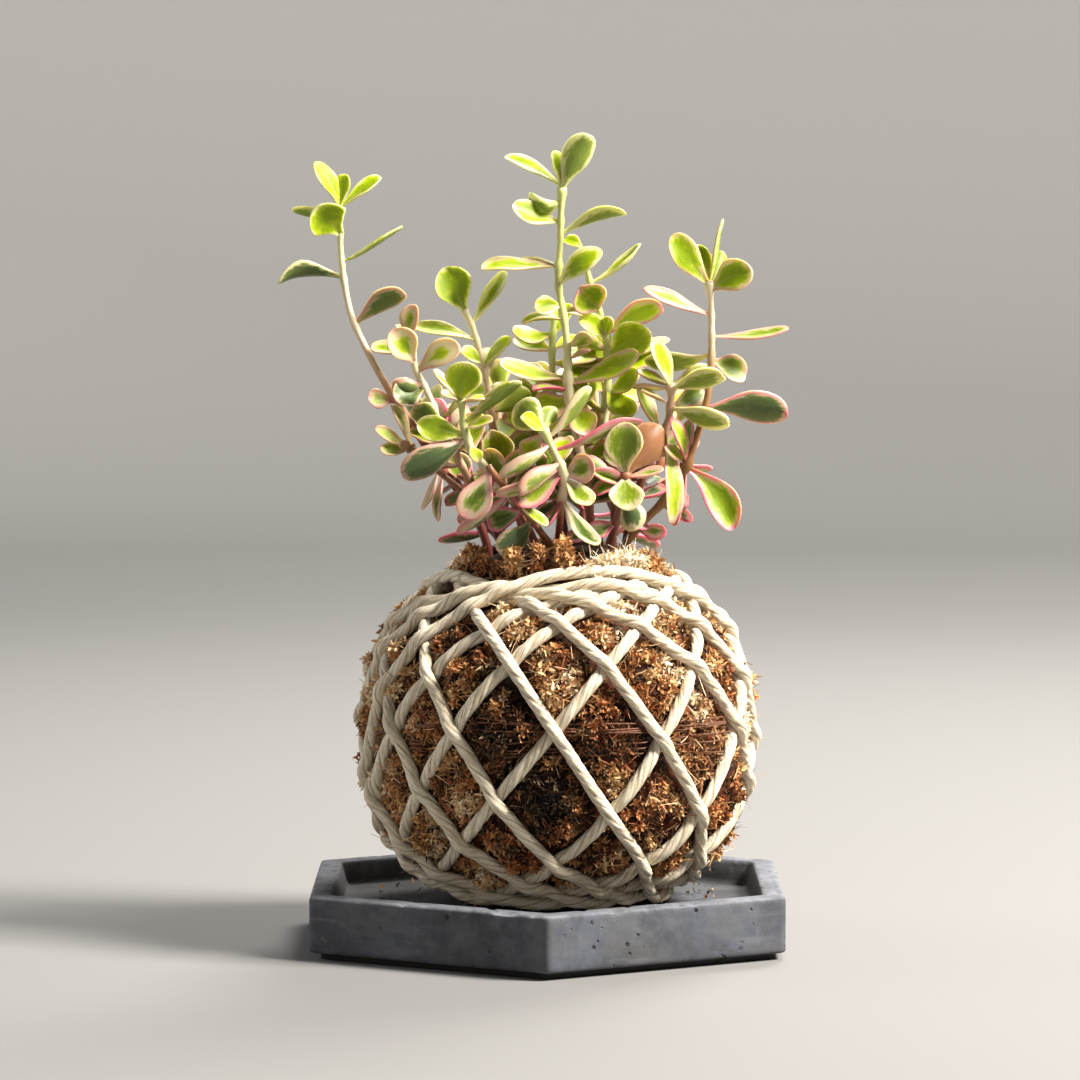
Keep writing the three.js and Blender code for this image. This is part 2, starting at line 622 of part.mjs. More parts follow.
    stem: [[23, 116, 3], [24.5, 125, 2], [28, 137, 1], [31.5, 146, 0], [35, 153, -1],
      [36.7, 160, -2], [36.7, 166, -3]],
    leaves: [
      [36.4, 163.5, 31, 178.6, -4, 35, 6, 0.5], [37.2, 164.5, 52, 168, -14, 150, 7, -0.8],
      [36.8, 165.5, 48.8, 170.3, 4, 160, 6, -0.8], [36.5, 164.8, 25.2, 165.2, 2, 100, 5, -0.5],
      [36.5, 165.5, 26.8, 170.4, 5, 60, 5, -0.6], [36.6, 159.5, 27.6, 163.8, -3, 80, 3, 0.2],
      [36.6, 159.2, 53.3, 154, -16, 150, 7, -1], [36.4, 158.5, 46.3, 164, 7, 0, 6.5, 0.3],
      [34.5, 152.5, 24, 154.4, -5, 95, 4.5, -0.4],
    ],
  },
  {
    name: "shoot_right_tall",
    stem: [[22.6, 116, -5], [24.6, 120.5, -5.5], [29.5, 126, -6.3], [34.5, 131, -7],
      [40, 139, -8], [43.2, 147, -8], [46.9, 159, -7], [48.5, 171, -6], [48.6, 184, -5],
      [48, 196, -5]],
    leaves: [
      [47.8, 195, 37.2, 210.2, -2, 10, 8, 0.8], [48, 196, 51.2, 215, 1, 88, 4.5, -0.5],
      [47.8, 196, 44.5, 207.4, 4, 25, 4, 0.2], [48, 195.5, 52, 205.2, 5, 165, 6.5, -0.3],
      [47.9, 193.3, 60.8, 200, -4, 10, 9.5, 0.4], [48.3, 186, 28, 193.8, -3, 70, 7, 0.8],
      [48.6, 180.2, 71.6, 182, 2, 78, 5.5, -1], [48.6, 175, 29, 172.8, 10, 150, 7, -2],
      [48.6, 172.8, 58.9, 168.6, 5, 25, 8, -1], [46.9, 158.8, 71.4, 158.2, -3, 165, 10, -0.5],
      [41.7, 141.5, 55.8, 122, -4, 10, 10, -2.5], [41.4, 142.3, 37.2, 156, -4, 50, 5.5, 1],
      [41.6, 142.5, 42.2, 155.5, 3, 40, 5, 0.2], [41.2, 142, 37.3, 124, -5, 55, 5, -1.5],
      [41, 142, 35.2, 147.4, -6, 40, 4, -0.4], [33.5, 130, 43.2, 125.4, 2, 30, 4, 0.2],
      [35, 132, 42, 131, 4, 20, 5, 0.2], [27, 123, 35.6, 121.6, -3, 10, 5, 0.2],
    ],
  },
  {
    name: "shoot_front_right",
    stem: [[17.5, 116, -10], [19.5, 122, -12], [22, 131, -15], [23.4, 139.5, -17]],
    leaves: [
      [23.4, 139.3, 23, 154.6, -5, 5, 11, 0.3], [23.4, 138.6, 24.3, 128.4, -7, 5, 10, 0.3],
      [23.2, 139, 13.3, 140.3, -4, 120, 5, -0.5], [23, 138, 14, 133.4, -2, 45, 5, -0.4],
      [22.5, 134, 25.9, 122.4, -3, 170, 8, 0.3], [23.4, 139, 33.4, 153, 3, 175, 9, -1],
      [23.2, 138.5, 34.6, 140.5, -2, 60, 4.5, -0.4],
    ],
  },
];

// Back shoots, where pairs of leaves stand crosswise, one pair above another. Stem: [x, y, z].
const BACK_SHOOTS = [
  ["shoot_back_left", [[-13, 10, 116], [-22, 16, 129], [-31, 21, 141], [-35, 23, 153]], 3],
  ["shoot_back_left_inner", [[-4, 18, 116], [-9, 27, 131], [-14, 35, 146], [-15, 39, 161]], 4],
  ["shoot_back_centre", [[9, 20, 116], [13, 28, 134], [15, 33, 152], [14, 35, 170]], 4],
  ["shoot_back_right", [[18, 14, 116], [26, 22, 128], [34, 29, 140], [39, 31, 153]], 4],
];
const PAIR_FIRST = 0.34; // where the lowest pair stands, as a share of the stem
const PAIR_LAST = 0.995;
const PAIR_TURN = 0.5;
const PAIR_LIFT = THREE.MathUtils.degToRad(24);
const TOP_LIFT = 2.4; // how much steeper the top pair stands
const TOP_LEAF = 12;
const BACK_LEAF = 16;
const FRONT_GREEN = 0x86a53c;
const BACK_GREEN = 0x7c9a3a;

function frontShoot({ name, stem, leaves }) {
  const places = stem.map(([x, z, depth]) => seen(x, z, depth));
  const foot = places[0].clone().setZ(STEM_FOOT);
  const curve = stemCurve([foot, foot.clone().lerp(places[0], 0.5), ...places]);
  const thick = STEM_THICK + stem.length * STEM_GROWTH;
  const solids = [stemSolid(curve, thick, STEM_THIN)];
  for (const [x, z, tipX, tipZ, further, face, width, arch] of leaves) {
    const root = rootOn(curve, x, z);
    const tip = seen(tipX, tipZ, root.y + further);
    const normal = faceNormal(root, tip, face);
    solids.push(bladeSolid(root, tip, normal, width, arch));
  }
  addNode(name, joined(solids), FRONT_GREEN, 0.45);
  return { x: foot.x, y: foot.y, radius: thick + HOLE_CLEAR };
}

function backShoot([name, stem, pairs]) {
  const places = stem.map(([x, y, z]) => new THREE.Vector3(x, y, z));
  const foot = places[0].clone().setZ(STEM_FOOT);
  const curve = stemCurve([foot, foot.clone().lerp(places[0], 0.5), ...places]);
  const solids = [stemSolid(curve, STEM_THICK_BACK, STEM_THIN)];
  for (let pair = 0; pair < pairs; pair += 1) {
    const share = PAIR_FIRST + ((PAIR_LAST - PAIR_FIRST) * pair) / (pairs - 1);
    const root = curve.getPointAt(share);
    const along = curve.getTangentAt(share);
    const side = new THREE.Vector3(0, 1, 0).cross(along).normalize();
    const front = along.clone().cross(side);
    const turn = PAIR_TURN + (pair * Math.PI) / 2 + drawLeaf(-0.35, 0.35);
    for (const half of [0, Math.PI]) {
      const out = side.clone().multiplyScalar(Math.cos(turn + half));
      out.addScaledVector(front, Math.sin(turn + half));
      const top = pair === pairs - 1;
      const lift = PAIR_LIFT * (top ? TOP_LIFT : drawLeaf(0.6, 1.5));
      const long = (top ? TOP_LEAF : BACK_LEAF) + drawLeaf(-1.5, 2.5);
      const reach = out.multiplyScalar(Math.cos(lift)).addScaledVector(along, Math.sin(lift));
      const tip = root.clone().addScaledVector(reach, long);
      const normal = along.clone().addScaledVector(reach, -along.dot(reach)).normalize();
      solids.push(bladeSolid(root, tip, normal, drawLeaf(6.5, 8.5), drawLeaf(-1.4, -0.4)));
    }
  }
  addNode(name, joined(solids), BACK_GREEN, 0.45);
  return { x: foot.x, y: foot.y, radius: STEM_THICK_BACK + HOLE_CLEAR };
}

addNode("tray", traySolid(), 0x8f979c, 0.85);
addNode("moss_wrap", mossSolid(), 0x8a6230, 1);
addNode("binding_thread", threadSolid(), 0x4a3020, 0.9);
addNode("cord_net", joined(circles.map(windingSolid)), 0xd9c8a4, 0.9);
const stemFeet = [...SHOOTS.map(frontShoot), ...BACK_SHOOTS.map(backShoot)];
addNode("soil_ball", soilSolid(stemFeet), 0x2d2018, 1);

export default part;
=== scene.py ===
"""A kokedama: a variegated succulent whose root ball is wrapped in moss, wound with twisted cord and set
on a hexagonal concrete tray. Lengths are millimetres here, and become metres where meshes are made."""
import math

import bpy
import numpy as np
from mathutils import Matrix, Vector


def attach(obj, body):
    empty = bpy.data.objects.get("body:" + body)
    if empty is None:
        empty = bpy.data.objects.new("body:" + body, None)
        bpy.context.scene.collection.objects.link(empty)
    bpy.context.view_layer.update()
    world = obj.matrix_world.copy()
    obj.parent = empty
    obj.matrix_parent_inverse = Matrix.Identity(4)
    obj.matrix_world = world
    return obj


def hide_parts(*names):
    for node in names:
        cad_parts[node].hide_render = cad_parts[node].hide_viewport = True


MM = 0.001

# Camera: where it stands, what it looks at and how long its lens is
CAMERA_AT = (-2.15, -1496.1, 227.6)
CAMERA_TO = (-2.15, 0.0, 119.6)
CAMERA_LENS = 168.3
SENSOR_WIDTH = 36
EYE = np.array(CAMERA_AT)

# Stage: how far the floor is flat, how round it curves up and how high its wall is
STAGE_FLAT = 1600
STAGE_COVE = 800
STAGE_HEIGHT = 1300
STAGE_COLUMNS = 128
STAGE_RINGS = (400, 800, 1200, STAGE_FLAT)
STAGE_ARCS = 16

# Lights: [name, where it stands, what it looks at, size, watts, colour], and the light of the room
LIGHTS = [
    ("key", (1090, -330, 1170), (0, 0, 110), 420, 92, (1.0, 0.945, 0.87)),
    ("fill", (-1200, 330, 640), (0, 0, 90), 800, 6, (0.95, 0.97, 1.0)),
    ("back", (380, 850, 1050), (0, 0, 150), 450, 24, (1.0, 0.97, 0.9)),
]
ROOM_COLOUR = (0.8, 0.83, 0.88, 1)
ROOM_LIGHT = 0.1

# Tray: the size and the rounding of its hexagon, the heights of its faces and the slope of its inner wall
TRAY_COLUMNS = 384
TRAY_CORNER_RADIUS = 80.0
TRAY_APOTHEM = TRAY_CORNER_RADIUS * math.cos(math.pi / 6)
TRAY_ROUND = 1.3
TRAY_EDGE = 0.9
TRAY_TOP = 18.5
TRAY_FLOOR = 11.5
TRAY_WALL = 6.6
TRAY_SLOPE = 1.5
TRAY_FILLET = 1.4
FOOT_HEIGHT = 2.0
FOOT_INSET = 3.3
CHIP_DEPTH = 0.95
# How far its rows of points are apart, and how far on the level within a radius. Inside the fan's radius
# all faces meet in the middle.
TRAY_STEP = 0.9
LEVEL_STEP = 3.0
LEVEL_RADIUS = 60
FAN_RADIUS = 8

# Ball, over the cord: how far it reaches to the side, up and down from its middle, and how square it is
BALL_MIDDLE = np.array([3.0, 0.0, 64.0])
BALL_RADIUS = 59.3
BALL_UP = 52.0
BALL_DOWN = 54.5
ROUNDNESS_UP = 2.35
ROUNDNESS_DOWN = 2.5

# Cord: [azimuth of a winding's highest point, how high it stands], in degrees, in the order of winding
WINDINGS = [
    (31, 52), (55, 53), (85, 51), (121, 55), (154, 56), (182, 56), (216, 56),
    (241, 56), (272, 56), (302, 55), (337, 50), (358, 54.5), (378, 58),
]
# Windings that stray to the side of their circle, low on the front: [from how far down, to how far, angle]
WINDING_BENDS = {8: (0.5, 0.95, 0.125), 9: (0.4, 0.85, 0.115)}
# How thick the cord is, the size of its faces, its plies and the length of one turn of them
CORD = 3.8
CORD_STEP = 1.5
CORD_SIDES = 24
CORD_PLIES = 3
CORD_PITCH = 25.0
# Places along a winding, and over how many of them its rise is evened out
WINDING_MARKS = 720
WINDING_WINDOW = 13
# How near another winding one rises over it or dips below it, and how far. The last one is also lifted
# at the neck.
CROSSING_REACH = 5.2
CROSSING_RISE = 2.4
CROSSING_DIP = 1.9
NECK_LIFT = 2.7

# Moss: its flat spot, its mouth and lip, and how deep it lies under the cord and swells between
REST_Z = TRAY_FLOOR + 0.3
MOUTH_RADIUS = 24.2
LIP_RADIUS = 29.2
LIP_FOOT = 111.9
NECK_FOOT = 107.4
MOSS_LOW = 5.0
MOSS_SWELL = 2.4

# Soil: how far it lies inside the ball's surface and the mouth, and the mound of its top
SOIL_INSET = 13.5
SOIL_GAP = 0.4
SOIL_SHOULDER = 104
SOIL_TOP = 113.4
SOIL_MOUND = 5.0
SOIL_COLUMNS = 120
SOIL_RINGS = 24

# Thread: its turns from low to high, how they swing and waver, and how deep they lie
THREAD = 0.5
THREAD_TURNS = 7
THREAD_LOW = 59.5
THREAD_HIGH = 72.5
THREAD_START = 2.4
THREAD_SWING = 0.9
THREAD_WAVER = 5
THREAD_INSET = 0.6
THREAD_UNDER_CORD = 3.4
THREAD_UNDER_MOSS = 2.2
THREAD_STEPS = 220
THREAD_SIDES = 5
THREAD_LAY = 1.3

# Stems: the height of their foot, how thick they are at the top and there, and how much for each place
STEM_FOOT = 104.0
STEM_THIN = 0.85
STEM_THICK = 1.05
STEM_GROWTH = 0.03
STEM_THICK_BACK = 1.3
STEM_SIDES = 10
STEM_STEP = 1.6
STEM_MARKS = 121
CURVE_MARKS = 201
CURVE_STEP = 0.002
# How much a stem swells where a leaf grows, and how far from it
KNOT_SWELL = 0.28
KNOT_REACH = 1.3
# Blades: how thick and how cupped they are, and how much wider than the tables say
BLADE_THICK = 1.15
BLADE_CUP = 0.32
WIDTH_GAIN = 1.06

# Front shoots: each stem as seen from the front, [x, z, depth] from the soil up
STEMS = {
    "left_tall": [
        (-17.5, 116, 2), (-20.5, 125, 0), (-27, 135, -4), (-33, 143, -7), (-40.3, 154, -9),
        (-48, 166, -10), (-53.5, 176, -10), (-58, 186, -9), (-60.1, 196, -8), (-61.2, 206, -8),
        (-61.4, 218, -9),
    ],
    "left_middle": [
        (-6, 116, 6), (-8, 125, 7), (-12.5, 138, 8), (-16, 152, 9), (-17.4, 163.7, 9), (-20, 175, 8),
        (-22.3, 183, 7), (-24.6, 188, 6),
    ],
    "left_cluster": [
        (-13, 116, -9), (-17, 126, -11), (-24.5, 140, -13), (-30.5, 152, -13), (-35.1, 162.5, -13),
        (-38.9, 170, -13), (-40.2, 178, -13),
    ],
    "left_low": [
        (-10, 116, -13), (-15, 124, -15), (-25, 134, -17), (-33.5, 141, -18), (-40.6, 147, -18),
    ],
    "front_left": [
        (-3, 116, -17), (-6, 124, -19), (-12, 134, -21), (-18.5, 141.5, -22), (-22.6, 146.5, -22),
        (-24.6, 153, -22), (-25.6, 161, -22),
    ],
    "front_low": [
        (2, 116, -19), (-2, 122, -22), (-8, 130, -25), (-15, 138, -27), (-17.5, 141.5, -28),
    ],
    "front_centre": [
        (3, 116, -11), (3.6, 123, -14), (4.2, 131, -18), (5, 138.6, -21), (3.4, 143, -23),
        (1, 147.8, -24), (-1.2, 152.5, -25),
    ],
    "centre_tall": [
        (14, 116, 1), (13, 124, 1), (11.5, 137, 2), (9, 150, 2), (6.8, 160, 2), (6.1, 168, 2),
        (5.8, 178, 2), (4.6, 187, 2), (3.2, 196, 2), (3.8, 208, 2), (4, 216, 2), (4.3, 224, 2),
    ],
    "centre_behind": [
        (6, 116, 11), (4, 130, 13), (2, 150, 14), (1.6, 165, 14), (1.4, 176, 13), (2, 186, 12),
    ],
    "right_of_centre": [
        (19, 116, 8), (20, 126, 9), (18.6, 142, 11), (16.9, 154, 12), (17.4, 160, 12), (18.1, 171, 12),
        (17.6, 180, 11), (15.5, 187, 10), (12.5, 196.5, 9), (10.4, 206, 9),
    ],
    "right_rosette": [
        (23, 116, 3), (24.5, 125, 2), (28, 137, 1), (31.5, 146, 0), (35, 153, -1), (36.7, 160, -2),
        (36.7, 166, -3),
    ],
    "right_tall": [
        (22.6, 116, -5), (24.6, 120.5, -5.5), (29.5, 126, -6.3), (34.5, 131, -7), (40, 139, -8),
        (43.2, 147, -8), (46.9, 159, -7), (48.5, 171, -6), (48.6, 184, -5), (48, 196, -5),
    ],
    "front_right": [
        (17.5, 116, -10), (19.5, 122, -12), (22, 131, -15), (23.4, 139.5, -17),
    ],
}
# Their leaves: [root x, root z, tip x, tip z, how much further off the tip is, face angle, width, arch],
# with [young, pink, rim] where a leaf stands out. A shoot's last ones are small leaves of the dense middle.
LEAVES = {
    "left_tall": [
        (-61.6, 219.5, -69.2, 231.4, -3, 45, 6.5, 0.8), (-61.2, 219, -59.9, 228, 2, 20, 5, 0.3),
        (-60.8, 218.6, -49.1, 227, 4, 55, 6, 0.6), (-62.5, 219.5, -75.4, 217.2, 5, 115, 6, -1.5),
        (-61.5, 210.5, -68.5, 218, -10, 0, 11.5, 0.3, 1, 0.05, 0.5),
        (-60.8, 202.3, -43, 213, 3, 88, 6.5, -0.8),
        (-61.2, 196.8, -79.8, 196.3, -4, 125, 8, 3.2, 0.2, 0, 0.5),
        (-56.5, 183.3, -42.2, 192.6, -5, 148, 7.6, 1.6, 0.4, 0.6, 0.6),
        (-45.2, 160.5, -53.3, 161.8, -4, 25, 6, -1.5), (-38.4, 153.4, -26.4, 158.7, 7, 150, 5.5, -0.5),
        (-32, 141.5, -36.6, 128.2, -3, 60, 3.6, -0.6, 0.3, 0.6, 0.6),
        (-31, 140.5, -33, 125.3, -6, 55, 4, -0.6, 0.3, 0.7, 0.6),
    ],
    "left_middle": [
        (-24.4, 187.4, -30.6, 200.4, -2, 10, 11, 0.5, 0.9, 0, 0.4),
        (-24, 188.4, -23.4, 198, 5, 60, 8, 0.3, 0.9, 0, 0.5),
        (-22.4, 183.2, -11.6, 198.8, 2, 45, 6, -1, 0.9, 0, 1.1),
        (-22, 178.3, -39.6, 181.8, -3, 60, 7, 1.2, 0.9, 0.1, 0.6),
        (-19.6, 171.5, -25.8, 175.7, -5, 55, 6, 0.4, 0.95, 0.1, 0.4),
        (-19.4, 170.5, -10.8, 179.6, -3, 64, 7, 0.6, 1, 0.1, 0.3), (-18.6, 170, -16, 176, 9, 150, 6, 0.3),
        (-13.3, 141.5, -16.6, 151.8, -9, 0, 9.5, 0.5, 0.35, 0.2, 0.6),
        (-17, 157.5, -5, 163.5, 3, 150, 8, -1, 0.9, 0.1, 0.3), (-14, 146, -4, 152, 4, 150, 7, -1),
        (-10, 133, -18, 127, 6, 40, 6, -1),
    ],
    "left_cluster": [
        (-40.2, 179, -39.7, 189.6, 1, 25, 6, 0.4, 0.9, 0.6, 1.2),
        (-41, 177.5, -44.9, 183.5, 3, 50, 3.2, 0.3), (-40.4, 175.5, -52.4, 176.9, -1, 50, 5.5, -0.8),
        (-39.7, 171.6, -46.4, 182, -6, 15, 9, 0.6, 0.9, 0.6, 1.7),
        (-38.3, 169.8, -25.8, 177.3, -3, 25, 8, 0.8, 0.9, 0.6, 1.7),
        (-36.3, 167, -46.2, 165.3, -4, 150, 6, -2, 0.3, 0.7, 0.6),
        (-36, 165, -45, 161.6, -7, 20, 8.5, -0.8, 0.1, 0.5, 0.3),
        (-30.5, 152, -38, 158.5, 5, 150, 6, -1, 0.2, 1, 0.8), (-27.5, 147, -21, 157, 4, 150, 6, -0.8),
        (-31.5, 153, -40.1, 158.9, -2, 150, 8, -1), (-22, 137, -30, 130, 3, 60, 6, -1),
        (-27.5, 148.5, -24.5, 160.5, 3, 150, 9, -1, 0, 1, 2.4),
        (-29.5, 151, -35.2, 161, 2, 150, 9, -1, 0, 1, 2),
    ],
    "left_low": [
        (-42, 148.5, -50.8, 153.3, -2, 40, 4.2, -0.4), (-41.5, 148.8, -46.4, 160, 1, 50, 4.5, 0.6),
        (-41, 147, -49.6, 145.7, -4, 50, 5.5, -0.6), (-40.9, 147.5, -44, 148.5, -5, 0, 3, 0.2),
    ],
    "front_left": [
        (-25.8, 162, -23.5, 172.5, -4, 5, 10.5, 0.4, 1, 0.1, 0.4),
        (-26, 162.5, -34.2, 169.8, 1, 60, 4, -0.4), (-25.6, 160.5, -31.5, 163, -5, 70, 4, 0.3),
        (-25.4, 161, -18.6, 161.8, -4, 80, 4.5, -0.3),
        (-24.5, 150.5, -38.6, 154.2, -3, 5, 7.5, -1, 0.85, 0.1, 0.4),
        (-24.4, 149.2, -43.3, 139, -5, 155, 9.5, -2, 0.05, 0.6, 0.5),
        (-24.6, 153.5, -16.3, 155.7, -5, 55, 4.5, -0.6),
        (-24.2, 154.5, -8, 167.4, -2, 130, 6.5, -1, 0.3, 0.2, 0.2),
        (-23, 147.5, -20.5, 142.5, -4, 30, 4, 0.3), (-14, 136.5, -5, 140, 4, 150, 6.5, -0.6),
    ],
    "front_low": [
        (-17, 141, -25, 126.3, -3, 5, 9.5, -1, 0, 0.8, 1.6),
        (-12, 133.5, -26.4, 121, -2, 125, 6, -1.2, 0, 0.85, 1.5),
        (-5, 125.5, -14.2, 115.6, -3, 150, 8.5, -1, 0, 0.3, 0.3),
        (-8.6, 131, 0.2, 124, -2, 60, 5, -0.8, 0.7, 0.1, 0.5), (-16, 138.5, -26, 124.5, 4, 30, 6, -1),
    ],
    "front_centre": [
        (-1, 152, -9.8, 159.6, 3, 165, 10.5, -1, 0.5, 0.1, 0.7),
        (-0.8, 152, -8.2, 156, -5, 45, 5.5, 0.5, 1, 0, 0.1),
        (-1, 152.5, 2.8, 159, 5, 165, 6, 0.3, 0.4, 0, 0.6),
        (0.5, 150, 13, 165, 4, 130, 6.5, -1, 0.2, 0.2, 0.9),
        (-0.3, 147.4, -13.8, 138, -8, 142, 5.6, -2, 0.15, 0.5, 1.1),
        (3.8, 142.5, -8.8, 133.8, -10, 146, 6.6, -2, 0.1, 0.8, 1.2),
        (4.2, 132, -0.2, 123.4, -7, 60, 4, -0.5), (5, 139, 14, 142, -3, 10, 8.5, -0.8, 0.1, 0.7, 1.2),
        (4.9, 137.8, 13.2, 130, -6, 30, 6.5, -0.6, 0.4, 0.05, 1),
        (4.4, 132.5, 15, 117.5, -11, 30, 5.5, -1.5, 0.1, 0.15, 0.9),
        (3, 146.5, 27.6, 156, 8, 118, 7.5, -1.2, 0.3, 1, 1), (-1, 151, -6.5, 143.5, 3, 10, 7, 0.4),
        (4, 139.5, -9.2, 130, -5, 25, 9.5, -1, 0, 1, 1.4),
        (3.6, 141, -14.8, 132.4, -8, 125, 6, -1.5, 0.1, 0.8, 1.4),
    ],
    "centre_tall": [
        (4.4, 223, 12.4, 239.8, -4, 165, 8.8, -0.8, 0.75, 0, 1),
        (4, 224, -12.6, 233.2, 3, 50, 5.5, 0.6, 0.9, 0, 0.8), (4.2, 223.5, 2.2, 234.9, -2, 20, 4.6, 0.2),
        (4.6, 222, 5.4, 234, 4, 40, 3, 0.2), (4.1, 219.5, -5.4, 219, 6, 150, 9, -4, 0.95, 0, 0.8),
        (3.9, 213.5, -10.3, 218.9, -3, 35, 7.5, -1.5),
        (3.8, 210.3, 23.2, 216.8, -5, 125, 7, 2.5, 0.8, 0, 1), (3.2, 200.6, -19.5, 201, -2, 60, 7, -1),
        (3.2, 200.8, -7.2, 202.5, 7, 95, 5, 0.5), (3.4, 194.5, 16, 205.6, -4, 20, 7, 2),
        (3.6, 189, -4.2, 188.7, -4, 15, 5.5, 0.5, 0.95, 0.2, 0.4),
        (4.6, 186.5, 10.6, 186.7, 4, 45, 3.5, 0.3),
        (6.2, 167.5, -14.4, 172, -3, 45, 6.5, -1.5, 0.45, 0.4, 0.5),
        (6.4, 166, 27.8, 174.3, -6, 40, 8, -1, 0.6, 0.6, 0.4), (6, 176.5, 13.3, 179.6, -5, 150, 5, 0.2),
        (6, 173, 13, 175.8, -2, 85, 3.5, 0.5), (6.3, 167.5, -3, 165.6, 5, 150, 5, 0.2),
        (8, 163.7, -4.2, 164.6, -5, 84, 6.5, 0.5, 0.3, 1, 1), (8, 162.5, -3.2, 158.2, 1, 15, 9.5, -0.5),
        (7, 160, 12.5, 151, -4, 15, 8.5, -0.3), (10.5, 143, 0, 147, 3, 150, 7.5, -1),
        (12, 135, 20, 141, 5, 20, 7, -0.6), (13.2, 122, 6, 119.5, -4, 40, 5, -0.6),
        (3, 184.5, -7.5, 184.3, -3, 75, 5, 1),
    ],
    "centre_behind": [
        (1.8, 181.5, -10.4, 181, -5, 50, 7.5, -2.5), (1.5, 176, 9, 180, 6, 60, 5, 0.3),
        (1.8, 168, -8, 172, 6, 60, 6, -0.6), (2, 160, 10, 164, 7, 60, 6, -0.6),
        (2, 185, -1, 192, 5, 60, 5, 0.3), (2, 160, -12, 165.5, 2, 150, 7.5, -1),
        (2, 152, -9, 147, -2, 40, 7, -1), (2, 156, 11, 157, -3, 20, 9, -0.8),
        (2, 148, -7, 153, 3, 20, 9, -0.8), (3, 144, 14, 150, 3, 150, 7, -1),
        (5, 132, -3, 126, -3, 60, 6, -0.8),
    ],
    "right_of_centre": [
        (10.5, 206, 5.2, 208.8, 3, 30, 4, 0.2), (13, 196, 28.2, 206.8, 2, 75, 6, -1.2),
        (15.2, 187.4, 9.5, 195, -8, 0, 10.5, 0.5, 0.8, 0.8, 0.5),
        (17.7, 179, 9.6, 185.6, -4, 25, 6, 0.4, 1, 0.1, 0.3), (17.6, 180, 18.8, 186, -3, 30, 4.5, 0.3),
        (17.7, 181, 34.6, 188.4, -3, 30, 8, 0.8, 0.5, 0.85, 0.5),
        (18, 174, 30.7, 181.4, -7, 10, 10.5, 0.5, 1, 0.1, 0.3),
        (17.9, 175.5, 9.6, 179.2, -7, 150, 5, 0.2), (18, 172.5, 7, 171.8, 4, 60, 5, -0.6),
        (17.6, 165, 25, 156, -9, 20, 8, -1, 0.9, 0.2, 0.2), (17.2, 159, 9, 152, -5, 15, 7, -0.8),
        (17.5, 163.5, 11, 168.5, -5, 40, 7.5, -0.8), (17.6, 163.8, 27.5, 168.5, -5, 50, 8.5, -1),
        (17, 155, 27, 160, 3, 150, 8, -1), (17.5, 150, 8, 154, -3, 20, 8.5, -1),
        (18.5, 146, 27, 150, -4, 20, 9, -1), (19, 141, 10, 144.5, -3, 30, 8, -1),
        (18, 173, 36.2, 179.8, 6, 60, 6, -0.8),
    ],
    "right_rosette": [
        (36.4, 163.5, 31, 178.6, -4, 35, 6, 0.5, 0.9, 0.1, 0.9),
        (37.2, 164.5, 52, 168, -14, 150, 7, -0.8, 0.9, 0.15, 1),
        (36.8, 165.5, 48.8, 170.3, 4, 160, 6, -0.8), (36.5, 164.8, 25.2, 165.2, 2, 100, 5, -0.5),
        (36.5, 165.5, 26.8, 170.4, 5, 60, 5, -0.6), (36.6, 159.5, 27.6, 163.8, -3, 80, 3, 0.2),
        (36.6, 159.2, 53.3, 154, -16, 150, 7, -1, 0.85, 0.1, 1.1),
        (36.4, 158.5, 46.3, 164, 7, 0, 6.5, 0.3, 0.3, 0.6, 0.5),
        (34.5, 152.5, 24, 154.4, -5, 95, 4.5, -0.4), (31, 145, 41, 150.5, 6, 150, 7, -0.8),
        (30, 142, 22, 150, 6, 20, 7.5, -0.8), (26.5, 132, 35, 136, 5, 60, 6.5, -0.8),
        (35, 150.5, 37.2, 124.5, -13, 32, 6, 4.5, 0.5, 0.5, 0.8),
    ],
    "right_tall": [
        (47.8, 195, 37.2, 210.2, -2, 10, 8, 0.8, 1, 0.4, 0.4), (48, 196, 51.2, 215, 1, 88, 4.5, -0.5),
        (47.8, 196, 44.5, 207.4, 4, 25, 4, 0.2), (48, 195.5, 52, 205.2, 5, 165, 6.5, -0.3),
        (47.9, 193.3, 60.8, 200, -4, 10, 9.5, 0.4, 1, 0.5, 0.6),
        (48.3, 186, 28, 193.8, -3, 48, 6, 0.8, 0.6, 0.85, 0.9),
        (48.6, 180.2, 71.6, 182, 0, 55, 4.5, -1, 0.5, 0.8, 0.3),
        (48.6, 175, 29, 172.8, 10, 150, 7, -2, 0.6, 0.2, 0.5),
        (48.6, 172.8, 58.9, 168.6, 5, 25, 8, -1, 0.5, 0.7, 0.5),
        (46.9, 158.4, 71.4, 157, -3, 160, 10, 0.8, 0.15, 0.9, 0.4),
        (41.7, 141.3, 55.4, 122.6, -4, 10, 9.5, -1.5, 0.75, 1, 0.7),
        (41.4, 142.3, 37.2, 156, -4, 50, 5.5, 1), (41.6, 142.5, 42.2, 155.5, 3, 40, 5, 0.2),
        (41.2, 142, 37.3, 124, -5, 55, 5, -1.5, 0.2, 0.9, 0.9), (41, 142, 35.2, 147.4, -6, 40, 4, -0.4),
        (33.5, 130, 43.2, 125.4, 2, 30, 4, 0.2), (35, 132, 42, 131, 4, 20, 5, 0.2),
        (27, 123, 35.6, 121.6, -3, 10, 5, 0.2, 0.2, 1, 0.7),
    ],
    "front_right": [
        (23.4, 139.3, 23, 154.6, -5, 5, 11, 0.3, 0.1, 0.2, 0.7),
        (23.4, 138.6, 24.3, 128.4, -7, 5, 10, 0.3, 0.35, 0.05, 1.1),
        (23.2, 139, 13.3, 140.3, -4, 120, 5, -0.5), (23, 138, 14, 133.4, -2, 45, 5, -0.4),
        (22.5, 134, 25.9, 122.4, -3, 170, 8, 0.3, 0.1, 0.1, 1), (23.4, 139, 34, 153.6, 3, 175, 12, -1),
